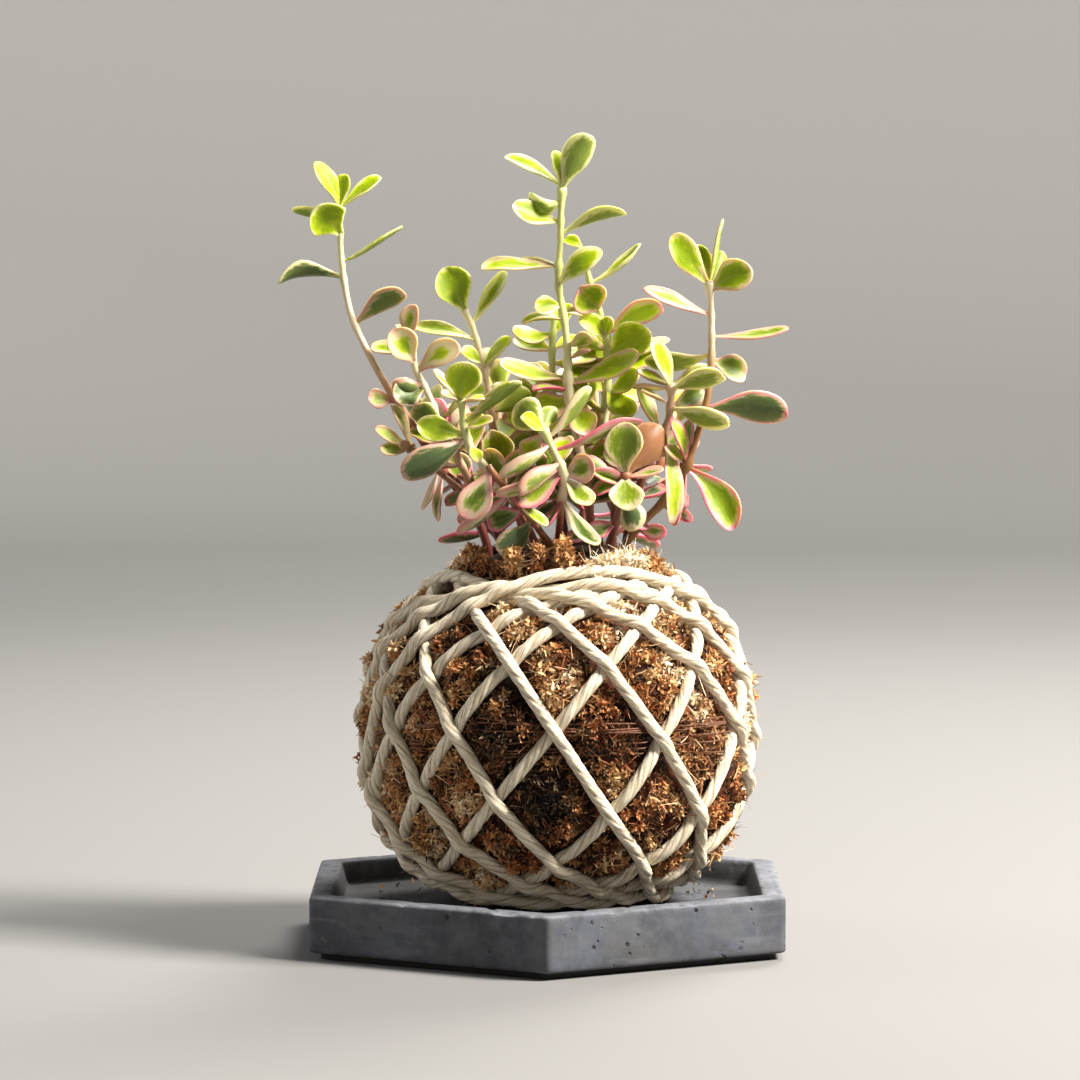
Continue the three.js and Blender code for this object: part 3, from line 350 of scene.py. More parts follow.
        (23.2, 138.5, 34.6, 140.5, -2, 60, 4.5, -0.4), (20.5, 125, 12, 121.5, -3, 30, 6, -0.8),
        (21, 127, 30, 123.5, 2, 60, 6, -0.8),
    ],
}
# Back shoots, where pairs of leaves stand crosswise. Stem, [x, y, z], and how many pairs.
BACK_SHOOTS = {
    "back_left": ([(-13, 10, 116), (-22, 16, 129), (-31, 21, 141), (-35, 23, 153)], 3),
    "back_left_inner": ([(-4, 18, 116), (-9, 27, 131), (-14, 35, 146), (-15, 39, 161)], 4),
    "back_centre": ([(9, 20, 116), (13, 28, 134), (15, 33, 152), (14, 35, 170)], 4),
    "back_right": ([(18, 14, 116), (26, 22, 128), (34, 29, 140), (39, 31, 153)], 4),
}
# Where the first and the last pair grow along a stem, how they are turned and lifted, and how long they are
PAIR_FIRST = 0.34
PAIR_LAST = 0.995
PAIR_TURN = 0.5
PAIR_LIFT = math.radians(24)
TOP_LIFT = 2.4
TOP_LEAF = 12
BACK_LEAF = 16
PAIR_SEED = 5
# Dry amber leaves, and leaves that curve to one side, each as (shoot, leaf)
AMBER_LEAVES = [("front_right", 5)]
LEAF_SWAYS = {("right_tall", 10): -2.6, ("left_tall", 6): 0.4, ("right_tall", 9): 0.8}
# How much younger a stem looks than its height makes it, and how brown it is low down
YOUNG_STEMS = {
    "left_tall": -0.1, "front_left": 0.5, "front_centre": 0.55, "right_of_centre": 0.42,
    "centre_tall": 0.22, "centre_behind": 0.3, "left_cluster": 0.15, "right_tall": -0.12,
}
BROWN_STEMS = {"right_tall": 0.8, "front_low": 0.5, "left_low": 0.5}
# Where more small leaves grow behind a stem: up to this height
FILLED = {
    "left_cluster": 160, "left_middle": 166, "front_left": 152, "front_low": 138, "front_centre": 146,
    "front_right": 138, "centre_tall": 174, "centre_behind": 180, "right_of_centre": 178,
    "right_rosette": 152,
}
# From which height on they grow, how far apart, and how long and wide they are
FILL_LOW = 130
FILL_STEP = 3.8
FILL_LENGTH = (11, 17)
FILL_WIDTH = (6.5, 9)
# The height where stems and leaves have their lowest colours, and how far above it the highest are
STEM_COLOURS = (110, 100)
LEAF_COLOURS = (118, 110)
# Seeds of the chances in the moss, the hidden leaves and the back shoots
MOSS_SEED = 100
HIDDEN_SEED = 200
BACK_SEED = 50
# What mixes the cells of a grid and their seed, and the rounds of mixing: [shift, factor]
CELL_FACTORS = np.array([73856093, 19349663, 83492791])
SEED_FACTOR = 2654435761
MIXING = [(15, 2246822519), (13, 3266489917)]
# The seeded draws of the back shoots
DRAW_FACTOR = 1664525
DRAW_ADDED = 1013904223
DRAW_RANGE = 2**32

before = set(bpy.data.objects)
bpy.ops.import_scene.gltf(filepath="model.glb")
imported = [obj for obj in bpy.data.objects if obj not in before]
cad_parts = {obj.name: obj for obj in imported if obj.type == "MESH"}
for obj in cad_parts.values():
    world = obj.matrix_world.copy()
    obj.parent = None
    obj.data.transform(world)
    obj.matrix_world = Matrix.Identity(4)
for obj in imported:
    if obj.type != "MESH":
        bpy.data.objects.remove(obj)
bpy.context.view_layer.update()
scene = bpy.context.scene


# Small maths

def smooth(value, low, high):
    share = np.clip((value - low) / (high - low), 0, 1)
    return share * share * (3 - 2 * share)


def unit(vector):
    return vector / np.maximum(np.linalg.norm(vector, axis=-1, keepdims=True), 1e-9)


def heading(azimuth, elevation):
    """A direction from its azimuth, from the front towards the right, and its elevation, in radians."""
    flat = np.cos(elevation)
    return np.stack([np.sin(azimuth) * flat, -np.cos(azimuth) * flat, np.sin(elevation) + 0 * azimuth], -1)


def angles(count):
    """Even angles once round, in radians."""
    return np.arange(count) / count * 2 * math.pi


def vectors(*parts):
    """Vectors from their three parts, which may be of different shapes."""
    return np.stack(np.broadcast_arrays(*parts), -1)


def line_lengths(line):
    """How far along a line each of its points lies."""
    return np.concatenate([[0], np.cumsum(np.linalg.norm(np.diff(line, axis=0), axis=1))])


def scatter(cells, seed):
    """A number from 0 to 1 for each cell of a grid, always the same for the same seed."""
    mixed = cells.astype(np.int64) * CELL_FACTORS
    number = (mixed[..., 0] ^ mixed[..., 1] ^ mixed[..., 2]) + seed * SEED_FACTOR
    for shift, factor in MIXING:
        number = ((number ^ (number >> shift)) * factor) & 0xFFFFFFFF
    return ((number ^ (number >> 16)) & 0xFFFFFF) / float(0xFFFFFF)


def noise(points, size, seed):
    """Smooth noise from 0 to 1 whose lumps are about size millimetres wide."""
    place = points / size
    low = np.floor(place)
    share = place - low
    share = share * share * (3 - 2 * share)
    total = 0
    for corner in np.ndindex(2, 2, 2):
        weight = np.prod(np.where(np.array(corner) == 1, share, 1 - share), axis=-1)
        total = total + weight * scatter(low + np.array(corner), seed)
    return total


class Curve:
    """A centripetal Catmull-Rom curve through places, measured along its length from 0 to 1."""

    def __init__(self, places):
        self.places = np.array(places, float)
        self.ends = np.vstack([2 * self.places[0] - self.places[1], self.places,
                               2 * self.places[-1] - self.places[-2]])
        self.turns = np.linspace(0, 1, CURVE_MARKS)
        self.lengths = line_lengths(self.raw(self.turns))
        self.length = self.lengths[-1]

    def raw(self, turn):
        spans = len(self.places) - 1
        span = np.minimum((turn * spans).astype(int), spans - 1)
        share = (turn * spans - span)[:, None]
        p0, p1, p2, p3 = (self.ends[span + k] for k in range(4))
        d0, d1, d2 = (np.sqrt(np.linalg.norm(b - a, axis=1, keepdims=True))
                      for a, b in ((p0, p1), (p1, p2), (p2, p3)))
        start = ((p1 - p0) / d0 - (p2 - p0) / (d0 + d1) + (p2 - p1) / d1) * d1
        stop = ((p2 - p1) / d1 - (p3 - p1) / (d1 + d2) + (p3 - p2) / d2) * d1
        square = -3 * p1 + 3 * p2 - 2 * start - stop
        cube = 2 * p1 - 2 * p2 + start + stop
        return p1 + start * share + square * share**2 + cube * share**3

    def at(self, share):
        share = np.atleast_1d(np.asarray(share, float))
        return self.raw(np.interp(share * self.length, self.lengths, self.turns))

    def along(self, share):
        share = np.atleast_1d(np.asarray(share, float))
        after = self.at(np.clip(share + CURVE_STEP, 0, 1))
        return unit(after - self.at(np.clip(share - CURVE_STEP, 0, 1)))


# Meshes

def make_piece(name, points, faces, material, values, replaced=()):
    """A smooth mesh piece from points in millimetres, whose named values its material reads."""
    mesh = bpy.data.meshes.new(name)
    mesh.vertices.add(len(points))
    mesh.vertices.foreach_set("co", (np.asarray(points, float) * MM).ravel())
    corners = np.concatenate([f.ravel() for f in faces])
    sizes = np.concatenate([np.full(len(f), f.shape[1]) for f in faces])
    mesh.loops.add(len(corners))
    mesh.loops.foreach_set("vertex_index", corners.astype(np.int32))
    mesh.polygons.add(len(sizes))
    mesh.polygons.foreach_set("loop_start", (np.cumsum(sizes) - sizes).astype(np.int32))
    mesh.update(calc_edges=True)
    mesh.validate()
    mesh.shade_smooth()
    for key, value in values.items():
        attribute = mesh.attributes.new(key, "FLOAT_VECTOR", "POINT")
        attribute.data.foreach_set("vector", np.asarray(value, np.float32).ravel())
    mesh.materials.append(material)
    piece = bpy.data.objects.new(name, mesh)
    scene.collection.objects.link(piece)
    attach(piece, "root")
    if replaced:
        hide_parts(*replaced)
    return piece


def grid_faces(rows, columns, round_rows=False):
    """Quads over rows of points, each row a ring of so many columns."""
    row = np.arange(rows if round_rows else rows - 1)[:, None]
    column = np.arange(columns)[None, :]
    below = (row + 1) % rows
    right = (column + 1) % columns
    quads = vectors(row * columns + column, row * columns + right, below * columns + right,
                    below * columns + column)
    return quads.reshape(-1, 4)


def fan(middle, start, columns, up=False):
    """Triangles between a middle point and a ring of points, by their numbers."""
    column = np.arange(columns)
    ring = start + np.stack([(column + 1) % columns, column], -1)
    return np.insert(ring[:, ::-1] if up else ring, 0, middle, axis=1)


def closed(rings, low, high):
    """Points and faces of a stack of rings, closed by a middle point at each end."""
    rows, columns = rings.shape[:2]
    count = rows * columns
    points = np.vstack([rings.reshape(-1, 3), low, high])
    caps = np.concatenate([fan(count, 0, columns), fan(count + 1, count - columns, columns, up=True)])
    return points, grid_faces(rows, columns), caps


def tube(line, side, front, turn, radius):
    """Rings of points round a line, at angles that count from its side towards its front."""
    spokes = np.cos(turn)[..., None] * side[:, None] + np.sin(turn)[..., None] * front[:, None]
    return line[:, None] + radius * spokes


def stacked(parts):
    """Points, faces and values of many parts as one."""
    points, faces, values = [], [], []
    start = 0
    for part_points, part_faces, part_values in parts:
        points.append(part_points)
        faces.append(part_faces + start)
        values.append(part_values)
        start += len(part_points)
    return np.concatenate(points), np.concatenate(faces), np.concatenate(values)


# Materials

class Paint:
    """A material with a few short names for the nodes it is made of."""

    def __init__(self, name, roughness, specular=0.5):
        self.material = bpy.data.materials.new(name)
        self.material.use_nodes = True
        self.tree = self.material.node_tree
        self.shader = self.tree.nodes["Principled BSDF"]
        self.shader.inputs["Roughness"].default_value = roughness
        self.shader.inputs["Specular IOR Level"].default_value = specular

    def add(self, kind, inputs, **settings):
        node = self.tree.nodes.new(kind)
        for key, value in settings.items():
            setattr(node, key, value)
        for key, value in inputs.items():
            self.feed(node.inputs[key], value)
        return node

    def feed(self, socket, value):
        if isinstance(value, bpy.types.NodeSocket):
            self.tree.links.new(value, socket)
        else:
            socket.default_value = value

    def vector(self, name):
        """The vector that a piece stores under a name."""
        return self.add("ShaderNodeAttribute", {}, attribute_name=name).outputs["Vector"]

    def parts(self, name):
        """The three numbers of the vector stored under a name."""
        return self.add("ShaderNodeSeparateXYZ", {0: self.vector(name)}).outputs[:]

    def place(self):
        return self.add("ShaderNodeTexCoord", {}).outputs["Object"]

    def stretch(self, vector, scale):
        return self.add("ShaderNodeMapping", {"Vector": vector, "Scale": scale}).outputs[0]

    def noise(self, vector, scale, detail=3.0, rough=0.55):
        inputs = {"Vector": vector, "Scale": scale, "Detail": detail, "Roughness": rough}
        return self.add("ShaderNodeTexNoise", inputs).outputs["Fac"]

    def cells(self, vector, scale):
        return self.add("ShaderNodeTexVoronoi", {"Vector": vector, "Scale": scale}).outputs["Distance"]

    def ramp(self, value, *stops):
        node = self.add("ShaderNodeValToRGB", {"Fac": value})
        elements = node.color_ramp.elements
        while len(elements) < len(stops):
            elements.new(0.5)
        for element, (position, colour) in zip(elements, stops):
            element.position = position
            element.color = (*colour, 1.0)
        return node.outputs["Color"]

    def step(self, value, low, high, start=0.0, stop=1.0):
        inputs = {"Value": value, "From Min": low, "From Max": high, "To Min": start, "To Max": stop}
        node = self.add("ShaderNodeMapRange", inputs, interpolation_type="SMOOTHSTEP")
        return node.outputs["Result"]

    def sum(self, a, b):
        return self.add("ShaderNodeMath", {0: a, 1: b}, operation="ADD").outputs[0]

    def times(self, a, b):
        return self.add("ShaderNodeMath", {0: a, 1: b}, operation="MULTIPLY").outputs[0]

    def size(self, a):
        return self.add("ShaderNodeMath", {0: a}, operation="ABSOLUTE").outputs[0]

    def most(self, a, b):
        return self.add("ShaderNodeMath", {0: a, 1: b}, operation="MAXIMUM").outputs[0]

    def mix(self, share, a, b, how="MIX"):
        node = self.add("ShaderNodeMix", {}, data_type="RGBA", blend_type=how)
        for socket, value in ((0, share), (6, a), (7, b)):
            if isinstance(value, tuple):
                value = (*value, 1.0)
            self.feed(node.inputs[socket], value)
        return node.outputs[2]

    def bump(self, height, distance, strength=1.0, below=None):
        inputs = {"Height": height, "Distance": distance * MM, "Strength": strength}
        if below is not None:
            inputs["Normal"] = below
        return self.add("ShaderNodeBump", inputs).outputs["Normal"]

    def glow(self, weight, radius, scale):
        """Light that enters the surface and comes out beside, as far as scale in millimetres."""
        for name, value in (("Weight", weight), ("Radius", radius), ("Scale", scale * MM)):
            self.shader.inputs["Subsurface " + name].default_value = value

    def finish(self, colour, normal=None):
        self.feed(self.shader.inputs["Base Color"], colour)
        if normal is not None:
            self.feed(self.shader.inputs["Normal"], normal)
        return self.material


def concrete_paint():
    """Reads how worn and how damp the concrete is; the wear also holds a painted highlight on the rim, the
    damp a painted shade on the foot.
    """
    paint = Paint("concrete", 0.82, 0.35)
    wear_and_highlight, damp_and_shade, _ = paint.parts("cast")
    place = paint.place()
    clouds = paint.noise(place, 26, 5, 0.62)
    fine = paint.noise(place, 300, 4, 0.7)
    colour = paint.ramp(clouds, (0.3, (0.026, 0.027, 0.031)), (0.48, (0.046, 0.051, 0.065)),
                        (0.66, (0.076, 0.086, 0.112)))
    blots = paint.noise(place, 85, 4, 0.65)
    colour = paint.mix(paint.step(blots, 0.45, 0.62, 0, 0.6), colour, (0.085, 0.084, 0.083))
    colour = paint.mix(paint.step(blots, 0.5, 0.35, 0, 0.6), colour, (0.042, 0.041, 0.041))
    colour = paint.mix(paint.step(fine, 0.58, 0.8, 0, 0.45), colour, (0.17, 0.173, 0.19))
    streaks = paint.noise(paint.stretch(place, (1, 1, 7)), 30, 4, 0.6)
    colour = paint.mix(paint.step(streaks, 0.55, 0.75, 0, 0.5), colour, (0.135, 0.142, 0.165))
    # Darker where damp, and on the foot a painted shade for the dark gap under the tray.
    wet_and_shade = paint.times(damp_and_shade, paint.step(clouds, 0.3, 0.6, 0.97, 0.8))
    colour = paint.mix(wet_and_shade, colour, (0.022, 0.019, 0.017))
    # Lighter where rubbed: wear on the edges, and a painted highlight on the rim's top and edges.
    rubbed_and_lit = paint.times(wear_and_highlight, paint.step(fine, 0.3, 0.62, 0.3, 0.9))
    colour = paint.mix(rubbed_and_lit, colour, (0.22, 0.23, 0.26))
    holes = paint.cells(place, 330)
    rare = paint.noise(place, 75, 2, 0.5)
    pits = paint.times(paint.step(holes, 0.16, 0.27, 1, 0), paint.step(rare, 0.56, 0.64))
    colour = paint.mix(paint.times(pits, 0.85), colour, (0.018, 0.019, 0.022))
    rough = paint.bump(fine, 0.25, 0.5)
    normal = paint.bump(paint.times(pits, -1.0), 0.6, 1.0, rough)
    return paint.finish(colour, normal)


def moss_paint():
    """Reads how light a shred is, with painted shade and painted light in it, which of the moss's colours it
    has, and how far up it one is.
    """
    paint = Paint("moss", 0.85, 0.25)
    light, hue, tip = paint.parts("moss")
    colour = paint.ramp(hue, (0.0, (0.016, 0.007, 0.004)), (0.22, (0.075, 0.024, 0.01)),
                        (0.38, (0.34, 0.08, 0.02)), (0.55, (0.55, 0.26, 0.085)),
                        (0.75, (0.72, 0.46, 0.22)), (1.0, (0.95, 0.86, 0.66)))
    colour = paint.mix(paint.step(tip, 0.3, 1.0, 0, 0.25), colour, (0.8, 0.6, 0.32))
    shade = paint.ramp(light, (0.0, (0.06, 0.045, 0.04)), (0.5, (0.5, 0.45, 0.43)), (1.0, (1.0, 1.0, 1.0)))
    colour = paint.mix(1.0, colour, shade, "MULTIPLY")
    grain = paint.noise(paint.place(), 900, 3, 0.7)
    return paint.finish(colour, paint.bump(grain, 0.3, 0.6))


def cord_paint():
    """Reads the place across and along the twist, and how deep between plies and strands one is, which the
    paint darkens as painted shade.
    """
    paint = Paint("cord", 0.72, 0.3)
    lay = paint.vector("lay")
    groove, fine_groove, _ = paint.parts("twist")
    fibres = paint.noise(paint.stretch(lay, (1.6, 1.6, 0.16)), 1.0, 4, 0.65)
    blotch = paint.noise(lay, 0.16, 3, 0.5)
    threads = paint.noise(paint.stretch(lay, (3.2, 3.2, 0.3)), 1.0, 3, 0.6)
    colour = paint.ramp(fibres, (0.32, (0.4, 0.28, 0.14)), (0.46, (0.81, 0.69, 0.49)),
                        (0.62, (1.0, 0.94, 0.78)))
    colour = paint.mix(paint.step(blotch, 0.5, 0.75, 0, 0.5), colour, (1.0, 0.96, 0.84))
    dashes = paint.times(paint.step(threads, 0.58, 0.7), 0.5)
    colour = paint.mix(dashes, colour, (0.38, 0.25, 0.12))
    # Painted shade down in the grooves between strands and between plies.
    shaded = paint.times(paint.times(fine_groove, paint.step(fibres, 0.62, 0.4)), 0.45)
    colour = paint.mix(shaded, colour, (0.4, 0.28, 0.15))
    groove_shade = paint.times(groove, paint.step(blotch, 0.3, 0.6, 0.3, 0.9))
    colour = paint.mix(paint.times(groove_shade, 0.6), colour, (0.24, 0.145, 0.065))
    rough = paint.bump(threads, 0.35, 0.9)
    return paint.finish(colour, paint.bump(fibres, 0.5, 0.9, rough))


def thread_paint():
    """Reads the place along the thread."""
    paint = Paint("thread", 0.6, 0.4)
    twist = paint.noise(paint.vector("lay"), 1.4, 2, 0.5)
    colour = paint.ramp(twist, (0.35, (0.05, 0.016, 0.007)), (0.65, (0.23, 0.09, 0.04)))
    return paint.finish(colour, paint.bump(twist, 0.15))


def soil_paint():
    paint = Paint("soil", 0.95, 0.2)
    grain = paint.noise(paint.place(), 700, 4, 0.7)
    colour = paint.ramp(grain, (0.3, (0.006, 0.004, 0.003)), (0.6, (0.035, 0.02, 0.012)),
                        (0.8, (0.1, 0.055, 0.03)))
    return paint.finish(colour, paint.bump(grain, 0.6))


def leaf_paint():
    """Reads how far from a leaf's edge, how far along it and on which face one is, the place on it, how
    young, pink and wide-rimmed it is, how amber it is, and how much painted light brightens it."""
    paint = Paint("leaf", 0.4, 0.28)
    edge, along, under = paint.parts("blade")
    across, _, _ = paint.parts("flat")
    flat = paint.vector("flat")
    young, pink, rim = paint.parts("tint")
    # How amber a leaf is, and painted light that brightens leaves in the shaded middle of the plant.
    amber, painted_light, _ = paint.parts("amber")
    streaks = paint.noise(paint.stretch(flat, (0.9, 0.25, 1.0)), 1.0, 3, 0.62)
    blotches = paint.noise(paint.stretch(flat, (0.5, 0.3, 1.0)), 1.0, 3, 0.6)
    fine = paint.noise(flat, 2.6, 3, 0.6)
    wander = paint.sum(edge, paint.times(paint.sum(streaks, -0.5), 3.8))
    margin = paint.sum(paint.times(rim, -1.3), paint.times(pink, -0.55))
    reach = paint.sum(wander, margin)
    inside = paint.step(reach, -0.4, 0.5)
    core = paint.times(paint.step(reach, 0.1, 1.4), paint.step(blotches, 0.32, 0.5, 0.4, 1))
    deep = paint.mix(young, (0.032, 0.072, 0.008), (0.23, 0.33, 0.001))
    pale = paint.mix(young, (0.15, 0.2, 0.055), (0.4, 0.47, 0.008))
    # Painted light: leaves in the shaded middle are painted in brighter greens.
    deep = paint.mix(paint.times(painted_light, 0.7), deep, (0.36, 0.47, 0.002))
    pale = paint.mix(paint.times(painted_light, 0.7), pale, (0.54, 0.61, 0.02))
    cream = paint.mix(young, (0.56, 0.48, 0.33), (0.64, 0.65, 0.32))
    dusty = paint.mix(paint.step(fine, 0.3, 0.7), (0.58, 0.27, 0.26), (0.54, 0.14, 0.19))
    magenta = paint.mix(paint.step(fine, 0.3, 0.7), (0.56, 0.12, 0.2), (0.5, 0.045, 0.15))
    rosy = paint.mix(paint.step(pink, 0.8, 0.97), dusty, magenta)
    dusk = paint.mix(paint.step(blotches, 0.35, 0.6), (0.5, 0.27, 0.23), (0.46, 0.34, 0.25))
    cream = paint.mix(paint.times(pink, 0.7), cream, dusk)
    blush = paint.step(paint.sum(edge, paint.times(blotches, 1.2)), 0.6, 2.3, 1, 0)
    tip = paint.times(paint.step(along, 0.85, 1.0), 0.5)
    cream = paint.mix(paint.times(pink, paint.most(blush, tip)), cream, rosy)
    colour = paint.mix(inside, cream, pale)
    colour = paint.mix(core, colour, deep)
    colour = paint.mix(paint.step(fine, 0.4, 0.8, 0, 0.2), colour, pale)
    rib = paint.step(paint.size(across), 0.1, 0.45, 0.3, 0)
    colour = paint.mix(paint.times(rib, paint.step(along, 0.75, 0.1)), colour, cream)
    grey = paint.mix(young, (0.07, 0.095, 0.05), (0.2, 0.26, 0.05))
    below = paint.mix(paint.step(reach, -0.2, 0.6, 0.15, 0.65), colour, grey)
    colour = paint.mix(under, colour, below)
    dry = paint.mix(inside, (0.38, 0.2, 0.11), (0.27, 0.125, 0.055))
    colour = paint.mix(amber, colour, dry)
    paint.glow(0.7, (1.0, 1.0, 0.3), 1.5)
    return paint.finish(colour, paint.bump(fine, 0.12, 0.6))


def stem_paint():
    """Reads how high above the soil a place is, and how red and how brown the stem is. Low down it is dark:
    its own red-brown, and painted shade near the soil.
    """
    paint = Paint("stem", 0.42, 0.45)
    height, red, brown = paint.parts("stem")
    blotch = paint.noise(paint.place(), 260, 3, 0.6)
    level = paint.sum(height, paint.times(paint.sum(blotch, -0.5), 0.16))
    # Darkest at the foot: the stem's own red-brown, darkened further as painted shade in the plant's middle.
    colour = paint.ramp(level, (0.0, (0.03, 0.007, 0.005)), (0.15, (0.14, 0.02, 0.024)),
                        (0.3, (0.26, 0.08, 0.045)), (0.44, (0.46, 0.27, 0.14)),
                        (0.6, (0.72, 0.58, 0.4)), (0.8, (0.7, 0.67, 0.42)), (1.0, (0.52, 0.58, 0.2)))
    colour = paint.mix(paint.times(red, 0.3), colour, (0.3, 0.09, 0.06))
    colour = paint.mix(paint.times(brown, paint.step(level, 0.7, 0.35)), colour, (0.2, 0.1, 0.022))
    paint.glow(0.15, (1.0, 0.6, 0.35), 1.0)
    return paint.finish(colour, paint.bump(blotch, 0.25, 0.7))


# Tray: the concrete hexagon in small faces, with worn edges and chips, and a painted highlight on its rim

def hexagon_place(apothem, z):
    """Points round a hexagon with rounded corners, one corner to the front."""
    middle = (apothem - TRAY_ROUND) / math.cos(math.pi / 6)
    arc = TRAY_ROUND * math.pi / 3
    share = np.arange(TRAY_COLUMNS) / TRAY_COLUMNS * 6
    corner = np.floor(share)
    step = (share - corner) * (middle + arc)
    turn = corner * math.pi / 3 - math.pi / 2
    bend = np.clip(step / TRAY_ROUND, 0, math.pi / 3) - math.pi / 6
    start = np.stack([middle * np.cos(turn), middle * np.sin(turn)], -1)
    start += TRAY_ROUND * np.stack([np.cos(turn + bend), np.sin(turn + bend)], -1)
    run = np.maximum(step - arc, 0)[:, None]
    way = turn + math.pi / 6 + math.pi / 2
    flat = start + run * np.stack([np.cos(way), np.sin(way)], -1)
    return np.concatenate([flat, np.full((TRAY_COLUMNS, 1), z)], -1)


def tray_profile():
    """[apothem, z, worn_and_lit] from the middle of the foot out, up, over the rim and in to the middle
    again. The last is wear, with a painted highlight on the rim's top and edges.
    """
    inner = TRAY_APOTHEM - TRAY_WALL
    low = inner - TRAY_SLOPE
    foot = TRAY_APOTHEM - FOOT_INSET
    corners = [
        (FAN_RADIUS, 0, 0),
        (foot, 0, 0),
        (foot, FOOT_HEIGHT, 0),
        (TRAY_APOTHEM - TRAY_EDGE, FOOT_HEIGHT, 0),
        (TRAY_APOTHEM - 0.25 * TRAY_EDGE, FOOT_HEIGHT + 0.3, 0.4),
        (TRAY_APOTHEM, FOOT_HEIGHT + TRAY_EDGE, 0.1),
        (TRAY_APOTHEM, TRAY_TOP - TRAY_EDGE, 0.3),
        (TRAY_APOTHEM - 0.3 * TRAY_EDGE, TRAY_TOP - 0.3 * TRAY_EDGE, 1),
        (TRAY_APOTHEM - TRAY_EDGE, TRAY_TOP, 0.9),
        (inner + TRAY_EDGE / 2, TRAY_TOP, 0.7),
        (inner, TRAY_TOP - TRAY_EDGE / 2, 0.9),
        (low, TRAY_FLOOR + TRAY_FILLET, 0),
        (low - 0.3 * TRAY_FILLET, TRAY_FLOOR + 0.3 * TRAY_FILLET, 0),
        (low - TRAY_FILLET, TRAY_FLOOR, 0),
        (FAN_RADIUS, TRAY_FLOOR, 0),
    ]
    rows = []
    for (a, z, worn_and_lit), (b, y, more) in zip(corners, corners[1:]):
        level = z == y and min(a, b) < LEVEL_RADIUS
        steps = max(1, round(math.hypot(b - a, y - z) / (LEVEL_STEP if level else TRAY_STEP)))
        for step in range(steps):
            share = step / steps
            rows.append((a + (b - a) * share, z + (y - z) * share, worn_and_lit + (more - worn_and_lit) * share))
    return rows + [corners[-1]]


def build_tray():
    rows = tray_profile()
    rim_row = np.argmax([z for _, z, _ in rows])
    points = np.stack([hexagon_place(a, z) for a, z, _ in rows])
    worn_and_lit = np.array([w for _, _, w in rows])[:, None] * np.ones(TRAY_COLUMNS)
    normal = unit(np.cross(np.gradient(points, axis=1), np.gradient(points, axis=0)))
    swell = (noise(points, 34, 3) - 0.5) * 0.3 + (noise(points, 7, 4) - 0.5) * 0.16
    chips = smooth(noise(points, 3.2, 5) + 0.35 * noise(points, 1.3, 6), 0.86, 1.08) * smooth(worn_and_lit, 0.5, 0.9)
    foot = points[..., 2:] < 0.01
    moved = points - normal * (CHIP_DEPTH * chips)[..., None] + normal * swell[..., None] * 0.6
    moved[..., 2:] = np.where(foot, points[..., 2:], np.maximum(moved[..., 2:], 0.02))
    flat, faces, caps = closed(moved, (0, 0, 0), (0, 0, TRAY_FLOOR))
    count = moved[..., 0].size
    height = points[..., 2]
    inside = (np.arange(len(rows)) > rim_row)[:, None] & (height < TRAY_TOP - 0.8)
    cast = np.zeros((len(flat), 3))
    # Wear and chips, with a painted highlight on the rim's top and edges.
    cast[:count, 0] = (worn_and_lit * (0.35 + 0.65 * noise(points, 5, 8)) + chips * 0.3).ravel()
    # Damp inside the tray, and painted shade on the foot, in the gap under the tray.
    cast[:count, 1] = np.maximum(0.85 * inside * smooth(noise(points, 9, 9), 0.1, 0.6),
                                 smooth(height, FOOT_HEIGHT + 0.6, FOOT_HEIGHT)).ravel()
    cast[count:, 1] = 0.6
    make_piece("tray_cast", flat, [faces, caps], concrete_paint(), {"cast": cast}, ["tray"])


# The ball's surface

def on_ball(direction, inset):
    """Where a direction from the ball's middle meets its surface, less an inset."""
    down = direction[..., 2] < 0
    across = np.hypot(direction[..., 0], direction[..., 1]) / (BALL_RADIUS - inset)
    tall = np.abs(direction[..., 2]) / (np.where(down, BALL_DOWN, BALL_UP) - inset)
    power = np.where(down, ROUNDNESS_DOWN, ROUNDNESS_UP)
    reach = (across**power + tall**power) ** (-1 / power)
    return BALL_MIDDLE + direction * reach[..., None]


def circles():
    """For each winding, the direction of its highest point, the one beside it and its axis."""
    found = []
    for azimuth, height in WINDINGS:
        peak = heading(math.radians(azimuth), math.radians(height))
        side = heading(math.radians(azimuth + 90), 0.0)
        found.append((peak, side, np.cross(side, peak)))
    return found


CIRCLES = circles()


def stray(order, direction):
    """How far to the side of its circle a winding lies at a direction, as an angle."""
    if order not in WINDING_BENDS:
        return np.zeros(direction.shape[:-1])
    start, end, angle = WINDING_BENDS[order]
    return angle * smooth(-direction[..., 2], start, end) * smooth(-direction[..., 1], 0.1, 0.45)


def off_winding(order, direction):
    """How far a direction's place lies from the middle of one winding, as an angle."""
    axis = CIRCLES[order][2]
    return np.abs(np.arcsin(np.clip(direction @ axis, -1, 1)) - stray(order, direction))


def from_cord(direction):
    """How far a direction's place lies from the middle of the nearest winding, in millimetres."""
    away = [off_winding(order, direction) for order in range(len(WINDINGS))]
    return np.min(away, axis=0) * (BALL_RADIUS - CORD)


# Cord: each winding twisted of three plies, lifted where it crosses over and pressed in where it goes under

